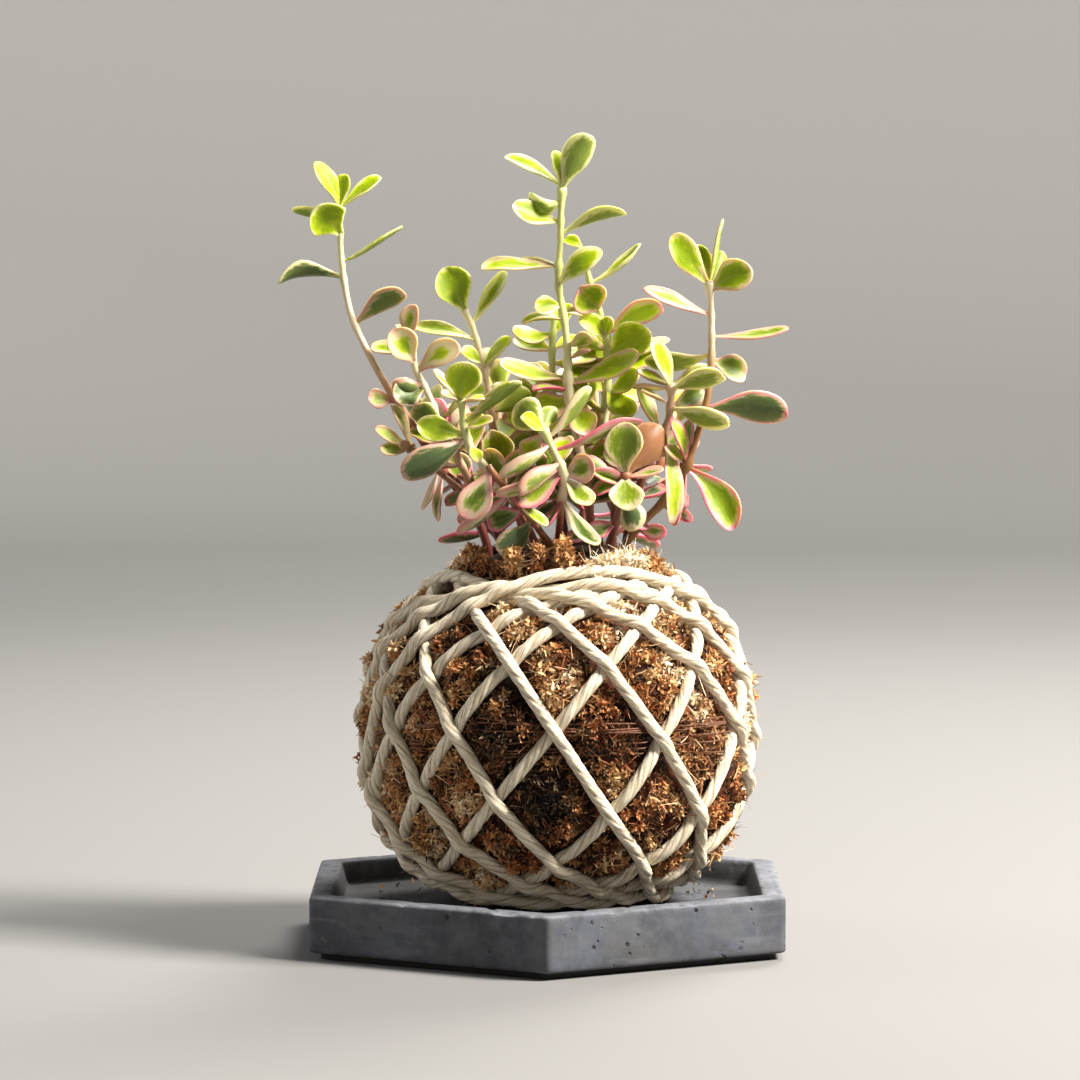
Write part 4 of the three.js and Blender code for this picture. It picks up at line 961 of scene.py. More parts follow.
def winding_line(order):
    """The middle of one winding, which rises over the windings before it and dips under those after."""
    peak, side, axis = CIRCLES[order]
    turn = np.linspace(0, 2 * math.pi, WINDING_MARKS, endpoint=False)[:, None]
    out = np.cos(turn) * peak + np.sin(turn) * side
    out = unit(out + axis * stray(order, out)[:, None])
    rise = np.zeros(len(out))
    for other in range(len(WINDINGS)):
        if other == order:
            continue
        away = off_winding(other, out) * (BALL_RADIUS - CORD / 2)
        near = np.clip(1 - (away / CROSSING_REACH) ** 2, 0, 1) ** 2
        rise += near * (1 if order > other else -1)
    rise = np.where(rise > 0, CROSSING_RISE * np.tanh(rise * 0.9), CROSSING_DIP * np.tanh(rise))
    if order == len(WINDINGS) - 1:
        rise = np.maximum(rise, NECK_LIFT * smooth(out[:, 2], 0.7, 0.83))
    window = np.hanning(WINDING_WINDOW)
    window /= window.sum()
    ends = WINDING_WINDOW // 2
    rise = np.convolve(np.concatenate([rise[-ends:], rise, rise[:ends]]), window, "valid")
    place = out * BALL_RADIUS + order * 40.0
    line = on_ball(out, CORD / 2 - rise + (noise(place, 23, 21) - 0.5) * 0.5)
    return line + axis * ((noise(place, 31, 22) - 0.5) * 1.6)[:, None]


def closed_steps(line, step):
    """A closed line's points at even steps, and its length."""
    loop = np.vstack([line, line[:1]])
    lengths = line_lengths(loop)
    count = int(lengths[-1] / step)
    marks = np.arange(count) / count * lengths[-1]
    return np.stack([np.interp(marks, lengths, loop[:, k]) for k in range(3)], -1), lengths[-1]


def twisted_winding(order):
    line, length = closed_steps(winding_line(order), CORD_STEP)
    count = len(line)
    along = unit(np.roll(line, -1, 0) - np.roll(line, 1, 0))
    out = line - BALL_MIDDLE
    out = unit(out - along * (out * along).sum(-1, keepdims=True))
    side = np.cross(along, out)
    corner = angles(CORD_SIDES)
    valley = np.abs(np.sin(corner * CORD_PLIES / 2))
    strand = np.abs(np.sin(corner * CORD_PLIES))
    radius = CORD / 2 * (0.84 + 0.12 * valley**0.6 + 0.04 * strand**0.7)
    phase = -2 * math.pi * round(length / CORD_PITCH) * np.arange(count) / count
    mark = (np.arange(count) / count * length)[:, None]
    slack = 1 + 0.1 * (noise(line + order * 31.0, 6, 23) - 0.5)
    fuzz = vectors(3 * np.cos(corner), 3 * np.sin(corner), mark / 4)
    ring = radius * slack[:, None] * (1 + 0.13 * (noise(fuzz + order * 19.0, 0.9, 24) - 0.5))
    points = tube(line, out, side, phase[:, None] + corner, ring[..., None])
    lay = vectors(CORD * np.cos(corner), CORD * np.sin(corner), mark + order * 57.0)
    # How deep a place lies in a groove between plies and between strands, which the paint darkens as painted
    # shade.
    twist = np.zeros((count, CORD_SIDES, 3))
    twist[..., 0] = smooth(1 - valley, 0.55, 1.0)
    twist[..., 1] = smooth(1 - strand, 0.5, 1.0)
    values = np.concatenate([lay, twist], -1)
    return points.reshape(-1, 3), grid_faces(count, CORD_SIDES, round_rows=True), values.reshape(-1, 6)


def build_cord():
    points, faces, values = stacked([twisted_winding(order) for order in range(len(WINDINGS))])
    make_piece("cord_windings", points, [faces], cord_paint(),
               {"lay": values[:, :3], "twist": values[:, 3:]}, ["cord_net"])


# Moss: a lumpy skin, tufts of curled flakes that stand on it, and long thin fibres

MOSS_COLUMNS = 360
MOSS_STEP = 1.0
# Between which elevations the skin covers the ball, and its lumps: [width, seed, height]
MOSS_FROM = 52
MOSS_TO = -73
LUMPS = [(8.5, 31, 2.2), (3.4, 32, 1.9), (1.5, 36, 0.9)]
# How many flakes and fibres lie on it, and its heads: [how many, flakes each, radius, height]
CARPET_FLAKES = 30000
FIBRES = 6500
LOW_HEADS = (2300, 18, (0.8, 1.7), (0.5, 1.3))
HIGH_HEADS = (1350, 36, (1.3, 2.7), (1.1, 2.4))
# Where the moss is darker or lighter: [azimuth, elevation, reach in degrees, change of colour, of height].
# The lighter patches on the sides and the top are painted light where the lamps fall.
MOSS_PATCHES_AND_LIGHT = [
    (-7, -6, 18, -0.34, 0.2), (-14, 12, 13, -0.26, 0.2), (2, -22, 16, -0.24, 0.2), (26, 6, 9, -0.2, 0.3),
    (-34, 26, 11, -0.14, 0.3), (44, 26, 15, 0.14, 0.4), (48, -2, 15, 0.06, -1.0), (22, -1, 11, -0.05, -0.8),
    (76, -1, 10, 0.05, -0.7), (72, 4, 14, 0.1, 0.1), (20, 30, 12, 0.08, 0.1), (-48, -6, 16, 0.0, 0.4),
    (-26, -34, 22, 0.1, 0.5), (2, 14, 9, 0.26, 0.8), (60, -24, 12, -0.2, 0.5), (14, 52, 14, 0.3, 0.4),
    (36, 50, 16, 0.45, 0.3), (-40, 50, 18, 0.06, 0.4), (-60, 20, 16, 0.06, 0.4), (22, -16, 10, 0.05, 0.5),
    (-86, 2, 26, 0.14, 1.0), (84, 6, 20, 0.12, 0.9), (78, -24, 14, -0.22, 1.5), (30, -30, 14, -0.18, 0.3),
    (-84, 36, 16, 0.12, 0.9), (46, 12, 14, 0.16, 0.2),
]
RED_PATCHES = [
    (18, 2, 10), (30, 14, 6), (-30, 30, 6), (8, -30, 8), (4, 34, 6), (62, -22, 10), (-10, -38, 7),
]
# Height of the lip's crest, as [azimuth in degrees, z]
LIP_CREST = [
    (-90, 113.4), (-62, 115), (-42, 112.6), (-24, 112.8), (-8, 113.2), (6, 113.4), (18, 112.8),
    (40, 113.2), (62, 113), (90, 112.6), (135, 115.5), (180, 117), (225, 115.5),
]
# Heads of moss on the lip and the ball, as seen from the front: [x, z, radius, how many flakes, hue, light]
CLUMPS = [
    (-22.4, 115.4, 3.0, 220, 0.6, 0.95), (-19.2, 111.8, 3.2, 190, 0.42, 0.7),
    (-24.2, 111.6, 2.6, 110, 0.5, 0.75), (-10.4, 115.4, 2.9, 200, 0.62, 0.95),
    (-9.6, 111.7, 3.0, 190, 0.64, 0.9), (-14.6, 110.6, 2.6, 110, 0.42, 0.6),
    (-2.5, 115.6, 2.6, 170, 0.56, 0.85), (-3, 112, 2.8, 150, 0.46, 0.75), (4.6, 117.2, 3.0, 220, 0.6, 0.95),
    (5, 113.4, 3.6, 240, 0.62, 0.95), (9.6, 112, 2.4, 90, 0.4, 0.6), (12, 111.4, 2.0, 120, 0.95, 1.0),
    (15.6, 112.4, 2.2, 150, 1.0, 1.0), (19, 113.4, 2.5, 180, 1.0, 1.0), (22.4, 114.6, 2.5, 180, 1.0, 1.0),
    (20.4, 112.4, 1.8, 70, 0.66, 0.9), (26.2, 113.2, 2.8, 200, 1.0, 1.0), (29.4, 112.4, 2.0, 90, 0.7, 0.9),
    (31, 111.4, 2.6, 170, 1.0, 1.0), (34.2, 109.8, 2.3, 110, 0.8, 0.95), (37.4, 108, 2.2, 90, 0.7, 0.9),
    (40.2, 106, 2.0, 70, 0.75, 0.9),
]
CLUMP_CIRCLE = 28.5
CRUMBS = 90
CRUMB_REACH = (42, 58)
# Which share of a head's flakes has to clear the cord, or else the head is left out
HEAD_SHARE = 0.6


def near_patch(direction, azimuth, elevation, reach):
    toward = heading(math.radians(azimuth), math.radians(elevation))
    away = np.degrees(np.arccos(np.clip(direction @ toward, -1, 1)))
    return smooth(away, reach * 1.35, reach * 0.45)


def patch_of(direction):
    """[change of colour, change of height, redness] of the moss in a direction from the ball's middle. The
    colour's rise on the sides and the top is painted light.
    """
    change = np.zeros((*direction.shape[:-1], 3))
    for azimuth, elevation, reach, colour, height in MOSS_PATCHES_AND_LIGHT:
        near = near_patch(direction, azimuth, elevation, reach)
        change[..., 0] += colour * near
        change[..., 1] += height * near
    for patch in RED_PATCHES:
        change[..., 2] += near_patch(direction, *patch)
    return change


def moss_inset(direction, place):
    """Pressed in under the windings, swelling out between them, and lumpy all over."""
    away = from_cord(direction)
    swell = MOSS_SWELL * smooth(away, 1.6, 6.5)
    lumps = sum((noise(place, width, seed) - 0.5) * height for width, seed, height in LUMPS)
    return MOSS_LOW - swell - lumps * smooth(away, 0.6, 3.5)


def moss_skin():
    """Rows of points from inside the mouth over the lip and down the ball to its flat spot."""
    azimuth = angles(MOSS_COLUMNS)
    round_ = heading(azimuth, 0 * azimuth)
    rows = []
    lumps = noise(round_ * LIP_RADIUS, 7, 33) - 0.5
    bits = noise(round_ * LIP_RADIUS, 2.6, 34) - 0.5
    crest = np.interp(np.degrees(azimuth), [a for a, _ in LIP_CREST], [z for _, z in LIP_CREST], period=360)
    lip = crest + 3.4 * lumps + 2.4 * bits
    edge = LIP_RADIUS - 0.8 + 3.6 * lumps + 2.0 * bits
    stations = [
        (MOUTH_RADIUS + 0 * edge, SOIL_TOP - 2 + 0 * lip), (MOUTH_RADIUS + 0.2 + 0 * edge, lip - 1.2),
        (0.72 * MOUTH_RADIUS + 0.28 * edge, lip - 0.2), (0.4 * MOUTH_RADIUS + 0.6 * edge, lip),
        (0.15 * MOUTH_RADIUS + 0.85 * edge, lip - 0.8), (edge, 0.55 * lip + 0.45 * LIP_FOOT),
        (edge, 0.2 * lip + 0.8 * LIP_FOOT), (29.3 + 0 * edge, LIP_FOOT - 2.4 + 0 * lip),
        (28.6 + 0 * edge, NECK_FOOT + 0 * lip),
    ]
    for (radius, z), (radius_next, z_next) in zip(stations, stations[1:]):
        for share in (0, 0.34, 0.67):
            ring = round_ * (radius + (radius_next - radius) * share)[:, None]
            ring[:, 0] += BALL_MIDDLE[0]
            ring[:, 2] = z + (z_next - z) * share
            rows.append(ring + (noise(ring[:, None, :], 2.2, 35) - 0.5) * 1.4)
    for degrees in np.arange(MOSS_FROM, MOSS_TO, -MOSS_STEP):
        direction = heading(azimuth, np.full(MOSS_COLUMNS, math.radians(degrees)))
        place = on_ball(direction, MOSS_LOW + 0 * azimuth)
        ring = on_ball(direction, moss_inset(direction, place))
        ring[:, 2] = np.maximum(ring[:, 2], REST_Z)
        rows.append(ring)
    return np.stack(rows)


def ribbons(random, base, way, bend, long, wide, colour):
    """Curled ribbons from their bases along their ways, as points, quads and [light, hue, share]."""
    count = len(base)
    flat = unit(np.cross(way, unit(random.normal(size=(count, 3)))))
    points, shares = [], []
    for share, size in ((0, 0.6), (0.5, 1.0), (1, 0.7)):
        middle = base + way * long * share + bend * long * share**2
        turned = unit(flat + bend * share * 0.9) * wide * size / 2
        points += [middle - turned, middle + turned]
        shares += [np.full((count, 1), share)] * 2
    start = np.arange(count)[:, None] * len(points)
    quads = [start + np.array([k, k + 1, k + 3, k + 2]) for k in range(0, len(points) - 2, 2)]
    values = np.concatenate([np.repeat(colour[:, None, :], len(points), 1), np.stack(shares, 1)], -1)
    return np.stack(points, 1).reshape(-1, 3), np.concatenate(quads), values.reshape(-1, 3)


def skin_places(skin, random, count):
    """Places on the skin, even by area, with their normals."""
    down = skin[1:] - skin[:-1]
    side = (np.roll(skin, -1, 1) - skin)[:-1]
    normals = np.cross(down, side)
    area = np.linalg.norm(normals, axis=-1)
    chosen = random.choice(area.size, count, p=(area / area.sum()).ravel())
    row, column = np.unravel_index(chosen, area.shape)
    a, b = random.uniform(0, 1, (2, count, 1))
    place = skin[row, column] + a * down[row, column] + b * side[row, column]
    away = unit(place - BALL_MIDDLE)
    return place, unit(unit(normals[row, column]) + away)


def open_places(skin, random, count, clear, lip, low):
    """Places on the skin that are clear of the windings or above the lip, with their normals."""
    place, normal = skin_places(skin, random, count * 2)
    free = (from_cord(unit(place - BALL_MIDDLE)) > clear) | (place[:, 2] > lip)
    free &= place[:, 2] > REST_Z + low
    return place[free][:count], normal[free][:count]


def tuft_colour(random, place, spread):
    """[light, hue] of moss at some places: of one colour in a clump, with patches, painted light on the lit
    sides and chance.
    """
    patch = patch_of(unit(place - BALL_MIDDLE))
    count = len(place)
    clump = 0.5 * noise(place, 8, 41) + 0.5 * noise(place, 3.8, 42)
    hue = 0.58 + 1.3 * (clump - 0.5) + patch[:, 0] + random.normal(0, spread, count)
    hue = hue + (0.37 - hue) * np.clip(patch[:, 2], 0, 1) * 0.75
    hue = np.minimum(hue, 0.8 + np.clip(patch[:, 0], 0, 1))
    light = 0.95 + 1.1 * (noise(place, 5, 43) - 0.5) + random.normal(0, 0.14, count)
    # Darker and lighter patches; the lighter ones on the sides and the top are painted light.
    light = light + patch[:, 0] * np.where(patch[:, 0] > 0, 0.4, 1.1)
    return np.stack([np.clip(light, 0.05, 1), np.clip(hue, 0, 1)], -1)


def moss_heads(skin, random, heads, each, sizes, heights):
    """Round heads of small curled flakes that lie on a dome and curl off it, with painted shade round their
    feet.
    """
    place, normal = skin_places(skin, random, heads * 3)
    direction = unit(place - BALL_MIDDLE)
    lip = place[:, 2] > LIP_FOOT - 2
    patch = patch_of(direction)
    front = lip & (place[:, 1] < -12)
    dense = 0.55 * noise(place, 5.5, 44) + 0.45 * noise(place, 2.4, 45) + 0.1 * patch[:, 0]
    clear = from_cord(direction)
    free = (clear > 2.0) | lip
    free &= (dense > 0.38) & (place[:, 2] > REST_Z + 2.5) & ~(front & (dense < 0.55))
    press = np.where(lip, 1, 0.4 + 0.6 * smooth(clear, 1.5, 5.0))
    place, normal, patch, lip, press = (v[free][:heads] for v in (place, normal, patch, lip, press))
    count = len(place)
    tint = tuft_colour(random, place, 0.15)
    size = random.uniform(*sizes, count) * (1 + 0.2 * lip)
    height = random.uniform(*heights, count) * np.clip(1 + patch[:, 1], 0.1, 1.9) * (1 + 0.2 * lip) * press
    pick = np.repeat(np.arange(count), each)
    aside = unit(np.cross(normal[pick], random.normal(size=(len(pick), 3))))
    away = np.sqrt(random.uniform(0, 1, len(pick)))
    dome = np.sqrt(1 - (0.95 * away) ** 2)
    base = place[pick] + aside * (away * size[pick])[:, None]
    base = base + normal[pick] * (height[pick] * dome - 0.6)[:, None]
    free = (from_cord(unit(base - BALL_MIDDLE)) > 1.5) | lip[pick]
    free &= np.bincount(pick[free], minlength=count)[pick] > HEAD_SHARE * each
    pick, aside, dome, away, base = (v[free] for v in (pick, aside, dome, away, base))
    count = len(pick)
    out = unit(aside * (away / size[pick])[:, None] + normal[pick] * (dome / height[pick])[:, None])
    lie = unit(np.cross(out, random.normal(size=(count, 3))))
    way = unit(lie + out * random.uniform(-0.2, 0.6, (count, 1)))
    bend = unit(out * 0.3 + random.normal(0, 0.8, (count, 3))) * random.uniform(0.4, 1.5, (count, 1))
    colour = tint[pick] + random.normal(0, 1, (count, 2)) * [0.12, 0.06]
    # Painted shade: a flake is darker the lower it lies on its head's dome, lighter on its top.
    colour[:, 0] += 0.92 * dome**1.5 - 0.5
    long = random.uniform(0.5, 1.3, (count, 1))
    wide = random.uniform(0.45, 1.25, (count, 1))
    return ribbons(random, base, way, bend, long, wide, np.clip(colour, 0, 1))


def moss_carpet(skin, random, count):
    """Small flakes all over the skin, which keep the places between the heads rough, painted darker as shade
    down between the heads.
    """
    place, normal = open_places(skin, random, count, 1.5, LIP_FOOT - 2, 2)
    count = len(place)
    way = np.cross(normal, random.normal(size=(count, 3))) + normal * random.uniform(0.1, 1.0, (count, 1))
    bend = unit(random.normal(size=(count, 3)) - 0.5 * normal) * random.uniform(0.4, 1.3, (count, 1))
    # Painted shade: the low carpet is darker than the heads above it.
    colour = tuft_colour(random, place, 0.16) - [0.38, 0.1]
    long = random.uniform(0.8, 2.2, (count, 1))
    wide = random.uniform(0.4, 1.1, (count, 1))
    return ribbons(random, place - 0.2 * normal, unit(way), bend, long, wide, np.clip(colour, 0, 1))


def moss_clumps(random):
    """The named heads of moss, and crumbs that fell from the ball onto the tray."""
    middles = []
    for x, z, size, count, hue, light in CLUMPS:
        depth = -math.sqrt(max(CLUMP_CIRCLE**2 - (x - BALL_MIDDLE[0])**2, 0))
        middles.append(np.tile([*seen(x, z, depth), size, light, hue], (count, 1)))
    flakes = np.concatenate(middles)
    out = unit(random.normal(size=(len(flakes), 3)) + [0, -0.35, 0.3])
    base = flakes[:, :3] + out * flakes[:, 3:4] * random.uniform(0.25, 1, (len(flakes), 1)) ** 0.5
    turn = random.uniform(0, 2 * math.pi, CRUMBS)
    reach = random.uniform(*CRUMB_REACH, CRUMBS)
    crumb = np.stack([reach * np.sin(turn), reach * np.cos(turn), np.full(CRUMBS, TRAY_FLOOR + 0.4)], -1)
    base = np.vstack([base, crumb])
    out = np.vstack([out, unit(random.normal(size=(CRUMBS, 3)) * [1, 1, 0.15])])
    colour = np.vstack([flakes[:, 4:], np.tile([0.8, 0.6], (CRUMBS, 1))])
    count = len(base)
    way = unit(0.35 * out + random.normal(0, 0.7, (count, 3)))
    bend = unit(random.normal(size=(count, 3)) - 0.3 * out) * random.uniform(0.5, 1.5, (count, 1))
    bend[-CRUMBS:, 2] = np.abs(bend[-CRUMBS:, 2])
    colour = np.clip(colour + random.normal(0, 1, (count, 2)) * [0.16, 0.09], 0, 1)
    fluff = (random.uniform(0, 1, (count, 1)) < 0.3) & (colour[:, 1:] > 0.85)
    long = random.uniform(0.6, 1.5, (count, 1)) * np.where(fluff, 3.0, 1)
    wide = random.uniform(0.5, 1.3, (count, 1)) * np.where(fluff, 0.22, 1)
    return ribbons(random, base, way, bend, long, wide, colour)


def moss_fibres(skin, random, count):
    """Long thin fibres that lie on the moss, a few of them standing off."""
    place, normal = open_places(skin, random, count, 1.2, LIP_FOOT, 3)
    count = len(place)
    way = unit(np.cross(normal, random.normal(size=(count, 3))) + [0.0, 0.0, -0.2])
    rise = np.abs(random.normal(0, 0.22, (count, 1)))
    way = unit(way + normal * rise)
    bend = unit(random.normal(size=(count, 3)) - 0.5 * normal) * random.uniform(0.1, 0.45, (count, 1))
    colour = tuft_colour(random, place, 0.2)
    long = random.uniform(2.5, 7.5, (count, 1)) * (1 - 0.4 * (rise > 0.4))
    base = place + normal * random.uniform(0.2, 1.4, (count, 1))
    wide = random.uniform(0.12, 0.32, (count, 1))
    return ribbons(random, base, way, bend, long, wide, colour)


def build_moss():
    paint = moss_paint()
    skin = moss_skin()
    flat = skin.reshape(-1, 3)
    patch = patch_of(unit(flat - BALL_MIDDLE))
    values = np.zeros((len(flat) + 1, 3))
    # Painted shade: the skin under the flakes is dark, as in the depths, and lighter on the tops of its
    # lumps.
    middle, fine = (smooth(noise(flat, width, seed), 0.3, 0.8) for width, seed, _ in LUMPS[1:])
    values[:-1, 0] = 0.1 + 0.5 * fine * middle
    values[:-1, 1] = np.clip(0.24 + 0.5 * (noise(flat, 4, 42) - 0.5) + 0.5 * patch[:, 0], 0, 1)
    faces = grid_faces(len(skin), MOSS_COLUMNS)[:, ::-1]
    bottom = fan(len(flat), len(flat) - MOSS_COLUMNS, MOSS_COLUMNS)
    make_piece("moss_skin", np.vstack([flat, [[BALL_MIDDLE[0], 0, REST_Z]]]), [faces, bottom], paint,
               {"moss": values}, ["moss_wrap"])
    layers = [
        ("moss_carpet", lambda random: moss_carpet(skin, random, CARPET_FLAKES)),
        ("moss_heads_low", lambda random: moss_heads(skin, random, *LOW_HEADS)),
        ("moss_heads_high", lambda random: moss_heads(skin, random, *HIGH_HEADS)),
        ("moss_fibres", lambda random: moss_fibres(skin, random, FIBRES)),
        ("moss_clumps", moss_clumps),
    ]
    for order, (name, make) in enumerate(layers):
        points, faces, values = make(np.random.default_rng(MOSS_SEED + order))
        make_piece(name, points, [faces], paint, {"moss": values})


# Binding thread: a few turns round the middle, on the moss and under the cord

def build_thread():
    steps = THREAD_STEPS * THREAD_TURNS
    share = np.linspace(0, 1, steps)
    azimuth = 2 * math.pi * THREAD_TURNS * share + THREAD_START
    waver = noise(vectors(azimuth * 9, 0, 0), 6, 46) - 0.5
    z = THREAD_LOW + (THREAD_HIGH - THREAD_LOW) * share + THREAD_SWING * np.sin(2 * azimuth)
    z = z + THREAD_WAVER * waver
    direction = heading(azimuth, np.arcsin((z - BALL_MIDDLE[2]) / BALL_RADIUS))
    away = from_cord(direction)
    under = noise(direction * BALL_RADIUS, 9, 47)
    inset = THREAD_INSET + THREAD_UNDER_CORD * smooth(away, 5, 1.5)
    line = on_ball(direction, inset + THREAD_UNDER_MOSS * smooth(under, 0.5, 0.7))
    along = unit(np.gradient(line, axis=0))
    out = unit(line - BALL_MIDDLE)
    turn = angles(THREAD_SIDES)
    points = tube(line, out, np.cross(along, out), turn, THREAD / 2)
    mark = np.linspace(0, steps * THREAD_LAY, steps)[:, None]
    lay = vectors(np.cos(turn + mark), np.sin(turn + mark), mark)
    make_piece("thread_turns", points.reshape(-1, 3), [grid_faces(steps, THREAD_SIDES)], thread_paint(),
               {"lay": lay.reshape(-1, 3)}, ["binding_thread"])


# Soil: a dark crumbly top in the mouth of the moss, and the plain root ball below it

def build_soil():
    azimuth = angles(SOIL_COLUMNS)
    rows = []
    for degrees in range(-60, 46, 15):
        direction = heading(azimuth, np.full(SOIL_COLUMNS, math.radians(degrees)))
        rows.append(on_ball(direction, np.full(SOIL_COLUMNS, SOIL_INSET)))
    neck = MOUTH_RADIUS - SOIL_GAP
    top = [(neck * k / SOIL_RINGS, SOIL_TOP) for k in range(SOIL_RINGS, 0, -1)]
    for radius, z in [(neck, SOIL_SHOULDER), (neck, SOIL_TOP - 2), *top]:
        ring = heading(azimuth, 0 * azimuth) * radius
        ring[:, 0] += BALL_MIDDLE[0]
        ring[:, 2] = z
        if z == SOIL_TOP:
            ring[:, 2] += 1.8 * (noise(ring, 3.6, 51) - 0.5) + 1.2 * (noise(ring, 1.5, 52) - 0.4)
            ring[:, 2] += SOIL_MOUND * smooth(radius, neck, 0.3 * neck)
        rows.append(ring)
    low = (BALL_MIDDLE[0], 0, rows[0][0, 2])
    high = (BALL_MIDDLE[0], 0, SOIL_TOP + SOIL_MOUND)
    points, faces, caps = closed(np.stack(rows), low, high)
    make_piece("soil_core", points, [faces, caps], soil_paint(), {}, ["soil_ball"])


# Shoots

def seen(x, z, depth):
    """A place seen from the front on the plane y = 0, pushed along the line of sight to its depth."""
    share = (depth - EYE[1]) / (0 - EYE[1])
    return np.array([EYE[0] + (x - EYE[0]) * share, depth, EYE[2] + (z - EYE[2]) * share])


def root_on(curve, x, z):
    """The place on a stem that looks nearest to a seen root."""
    places = curve.at(np.linspace(0, 1, STEM_MARKS))
    back = (0 - EYE[1]) / (places[:, 1] - EYE[1])
    looks = EYE[[0, 2]] + (places[:, [0, 2]] - EYE[[0, 2]]) * back[:, None]
    nearest = np.hypot(looks[:, 0] - x, looks[:, 1] - z).argmin()
    return places[nearest]


def face_normal(root, tip, degrees):
    """Where a blade's upper face looks: 0 turns it to the front, 90 up, 180 back."""
    along = unit(tip - root)
    front = np.array([0.0, -1.0, 0.0])
    front = unit(front - along * (front @ along))
    up = np.cross(along, front) * (-1 if along[0] > 0 else 1)
    angle = math.radians(degrees)
    return front * math.cos(angle) + up * math.sin(angle)


# Where a blade has points, along and across, and where it is widest, how wide its stalk is, how deep it
# stands in the stem, and the groove of its rib
BLADE_ROWS = np.array([0, 0.06, 0.15, 0.25, 0.35, 0.45, 0.55, 0.65, 0.75, 0.84, 0.91, 0.955, 0.985, 0.998])
BLADE_ACROSS = np.array([-1, -0.91, -0.7, -0.36, 0, 0.36, 0.7, 0.91, 1])
BLADE_WIDEST = 0.63
BLADE_STALK = 0.17
BLADE_TUCK = 0.4
RIB_DEPTH = 0.2
RIB_WIDTH = 0.16


def blade_outline(share, round_):
    """Half the blade's width along it: a narrow stalk that widens to a spoon."""
    grown = BLADE_STALK + (1 - BLADE_STALK) * smooth(share, 0.04, BLADE_WIDEST + 0.02) ** 0.95
    ended = np.maximum(1 - ((share - BLADE_WIDEST) / (1 - BLADE_WIDEST)) ** round_, 0) ** (1 / round_)
    return np.where(share < BLADE_WIDEST, grown, ended)


def blade(root, tip, normal, width, arch, random, sway=None):
    """Points, faces, end faces and values of one fleshy blade, its upper face towards the normal."""
    along = unit(tip - root)
    length = np.linalg.norm(tip - root)
    across = np.cross(along, normal)
    share = BLADE_ROWS[:, None]
    half = blade_outline(share, random.uniform(1.85, 2.4)) * width * WIDTH_GAIN / 2
    cup = BLADE_CUP * random.uniform(0.7, 1.5)
    recurve = random.uniform(-0.06, 0.05) * length
    wave = random.uniform(0.0, 0.05) * width
    beat = random.uniform(0, 6.28)
    sway = random.uniform(-0.06, 0.06) * length if sway is None else sway
    middle = root - along * BLADE_TUCK + along * share * (length + BLADE_TUCK)
    middle = middle + across * (4 * sway * share * (1 - share))
    middle = middle + normal * (4 * arch * share * (1 - share) + recurve * smooth(share, 0.6, 1) ** 2)
    rings, flats, blades = [], [], []
    for face, order in ((1, BLADE_ACROSS), (-1, BLADE_ACROSS[-2:0:-1])):
        spread = order[None, :]
        rise = cup * half * np.abs(spread) ** 1.7 + wave * np.abs(spread) ** 3 * np.sin(9 * share + beat)
        thick = BLADE_THICK / 2 * (0.28 + 0.72 * np.sqrt(np.maximum(1 - spread**2, 0)))
        thick = thick * (1 - 0.35 * smooth(share, 0.6, 1.0)) * smooth(half, 0, 1.4)
        rib = RIB_DEPTH * np.exp(-(spread / RIB_WIDTH) ** 2) * (1 - share)
        lift = rise + face * thick + rib * (-1 if face > 0 else -0.7)
        edge = np.minimum((1 - np.abs(spread)) * half, (1 - share) * length * 0.8 + 0 * spread)
        rings.append(middle[:, None] + across * (spread * half)[..., None] + normal * lift[..., None])
        flats.append(vectors(spread * half, share * length, 0))
        blades.append(vectors(edge, share, 0.5 - face / 2))
    rings = np.concatenate(rings, 1)
    points, faces, caps = closed(rings, rings[0].mean(0), rings[-1].mean(0))
    flat = np.concatenate(flats, 1)
    flat[..., 2] = random.uniform(0, 200)
    values = np.concatenate([np.concatenate(blades, 1), flat], -1).reshape(-1, 6)
    ends = [[0.3, 0, 0, 0, 0, flat[0, 0, 2]], [0, 1, 0, 0, length, flat[0, 0, 2]]]
    return points, faces, caps, np.vstack([values, ends])


def stem_tube(curve, thick, thin, knots):
    """A stem as a tube that swells a little where leaves grow."""
    count = max(12, int(curve.length / STEM_STEP))
    share = np.linspace(0, 1, count)
    middle = curve.at(share)
    along = curve.along(share)
    side = unit(np.cross([0, 1, 0], along))
    radius = thick + (thin - thick) * share
    for knot in knots:
        radius = radius + KNOT_SWELL * np.exp(-(((share - knot) * curve.length) / KNOT_REACH) ** 2)
    turn = angles(STEM_SIDES)
    shape = 1 + 0.06 * (noise(middle[:, None] + 3 * np.cos(turn)[None, :, None], 3, 61) - 0.5)
    rings = tube(middle, side, np.cross(along, side), turn, (radius[:, None] * shape)[..., None])
    return closed(rings, middle[0], middle[-1] + along[-1] * radius[-1] * 0.5)


def drawer(seed):
    """The same seeded draws as the construction's, so that the blades stand where its blades do."""
    state = [seed]

    def draw(low, high):
        state[0] = (state[0] * DRAW_FACTOR + DRAW_ADDED) % DRAW_RANGE
        return low + (high - low) * state[0] / DRAW_RANGE
    return draw


def front_leaves(curve, leaves):
    """The leaves of a table: each one's root, tip, face, width, arch and tint."""
    found = []
    for x, z, tip_x, tip_z, further, face, width, arch, *tint in leaves:
        root = root_on(curve, x, z)
        tip = seen(tip_x, tip_z, root[1] + further)
        found.append((root, tip, face_normal(root, tip, face), width, arch, tint))
    return found


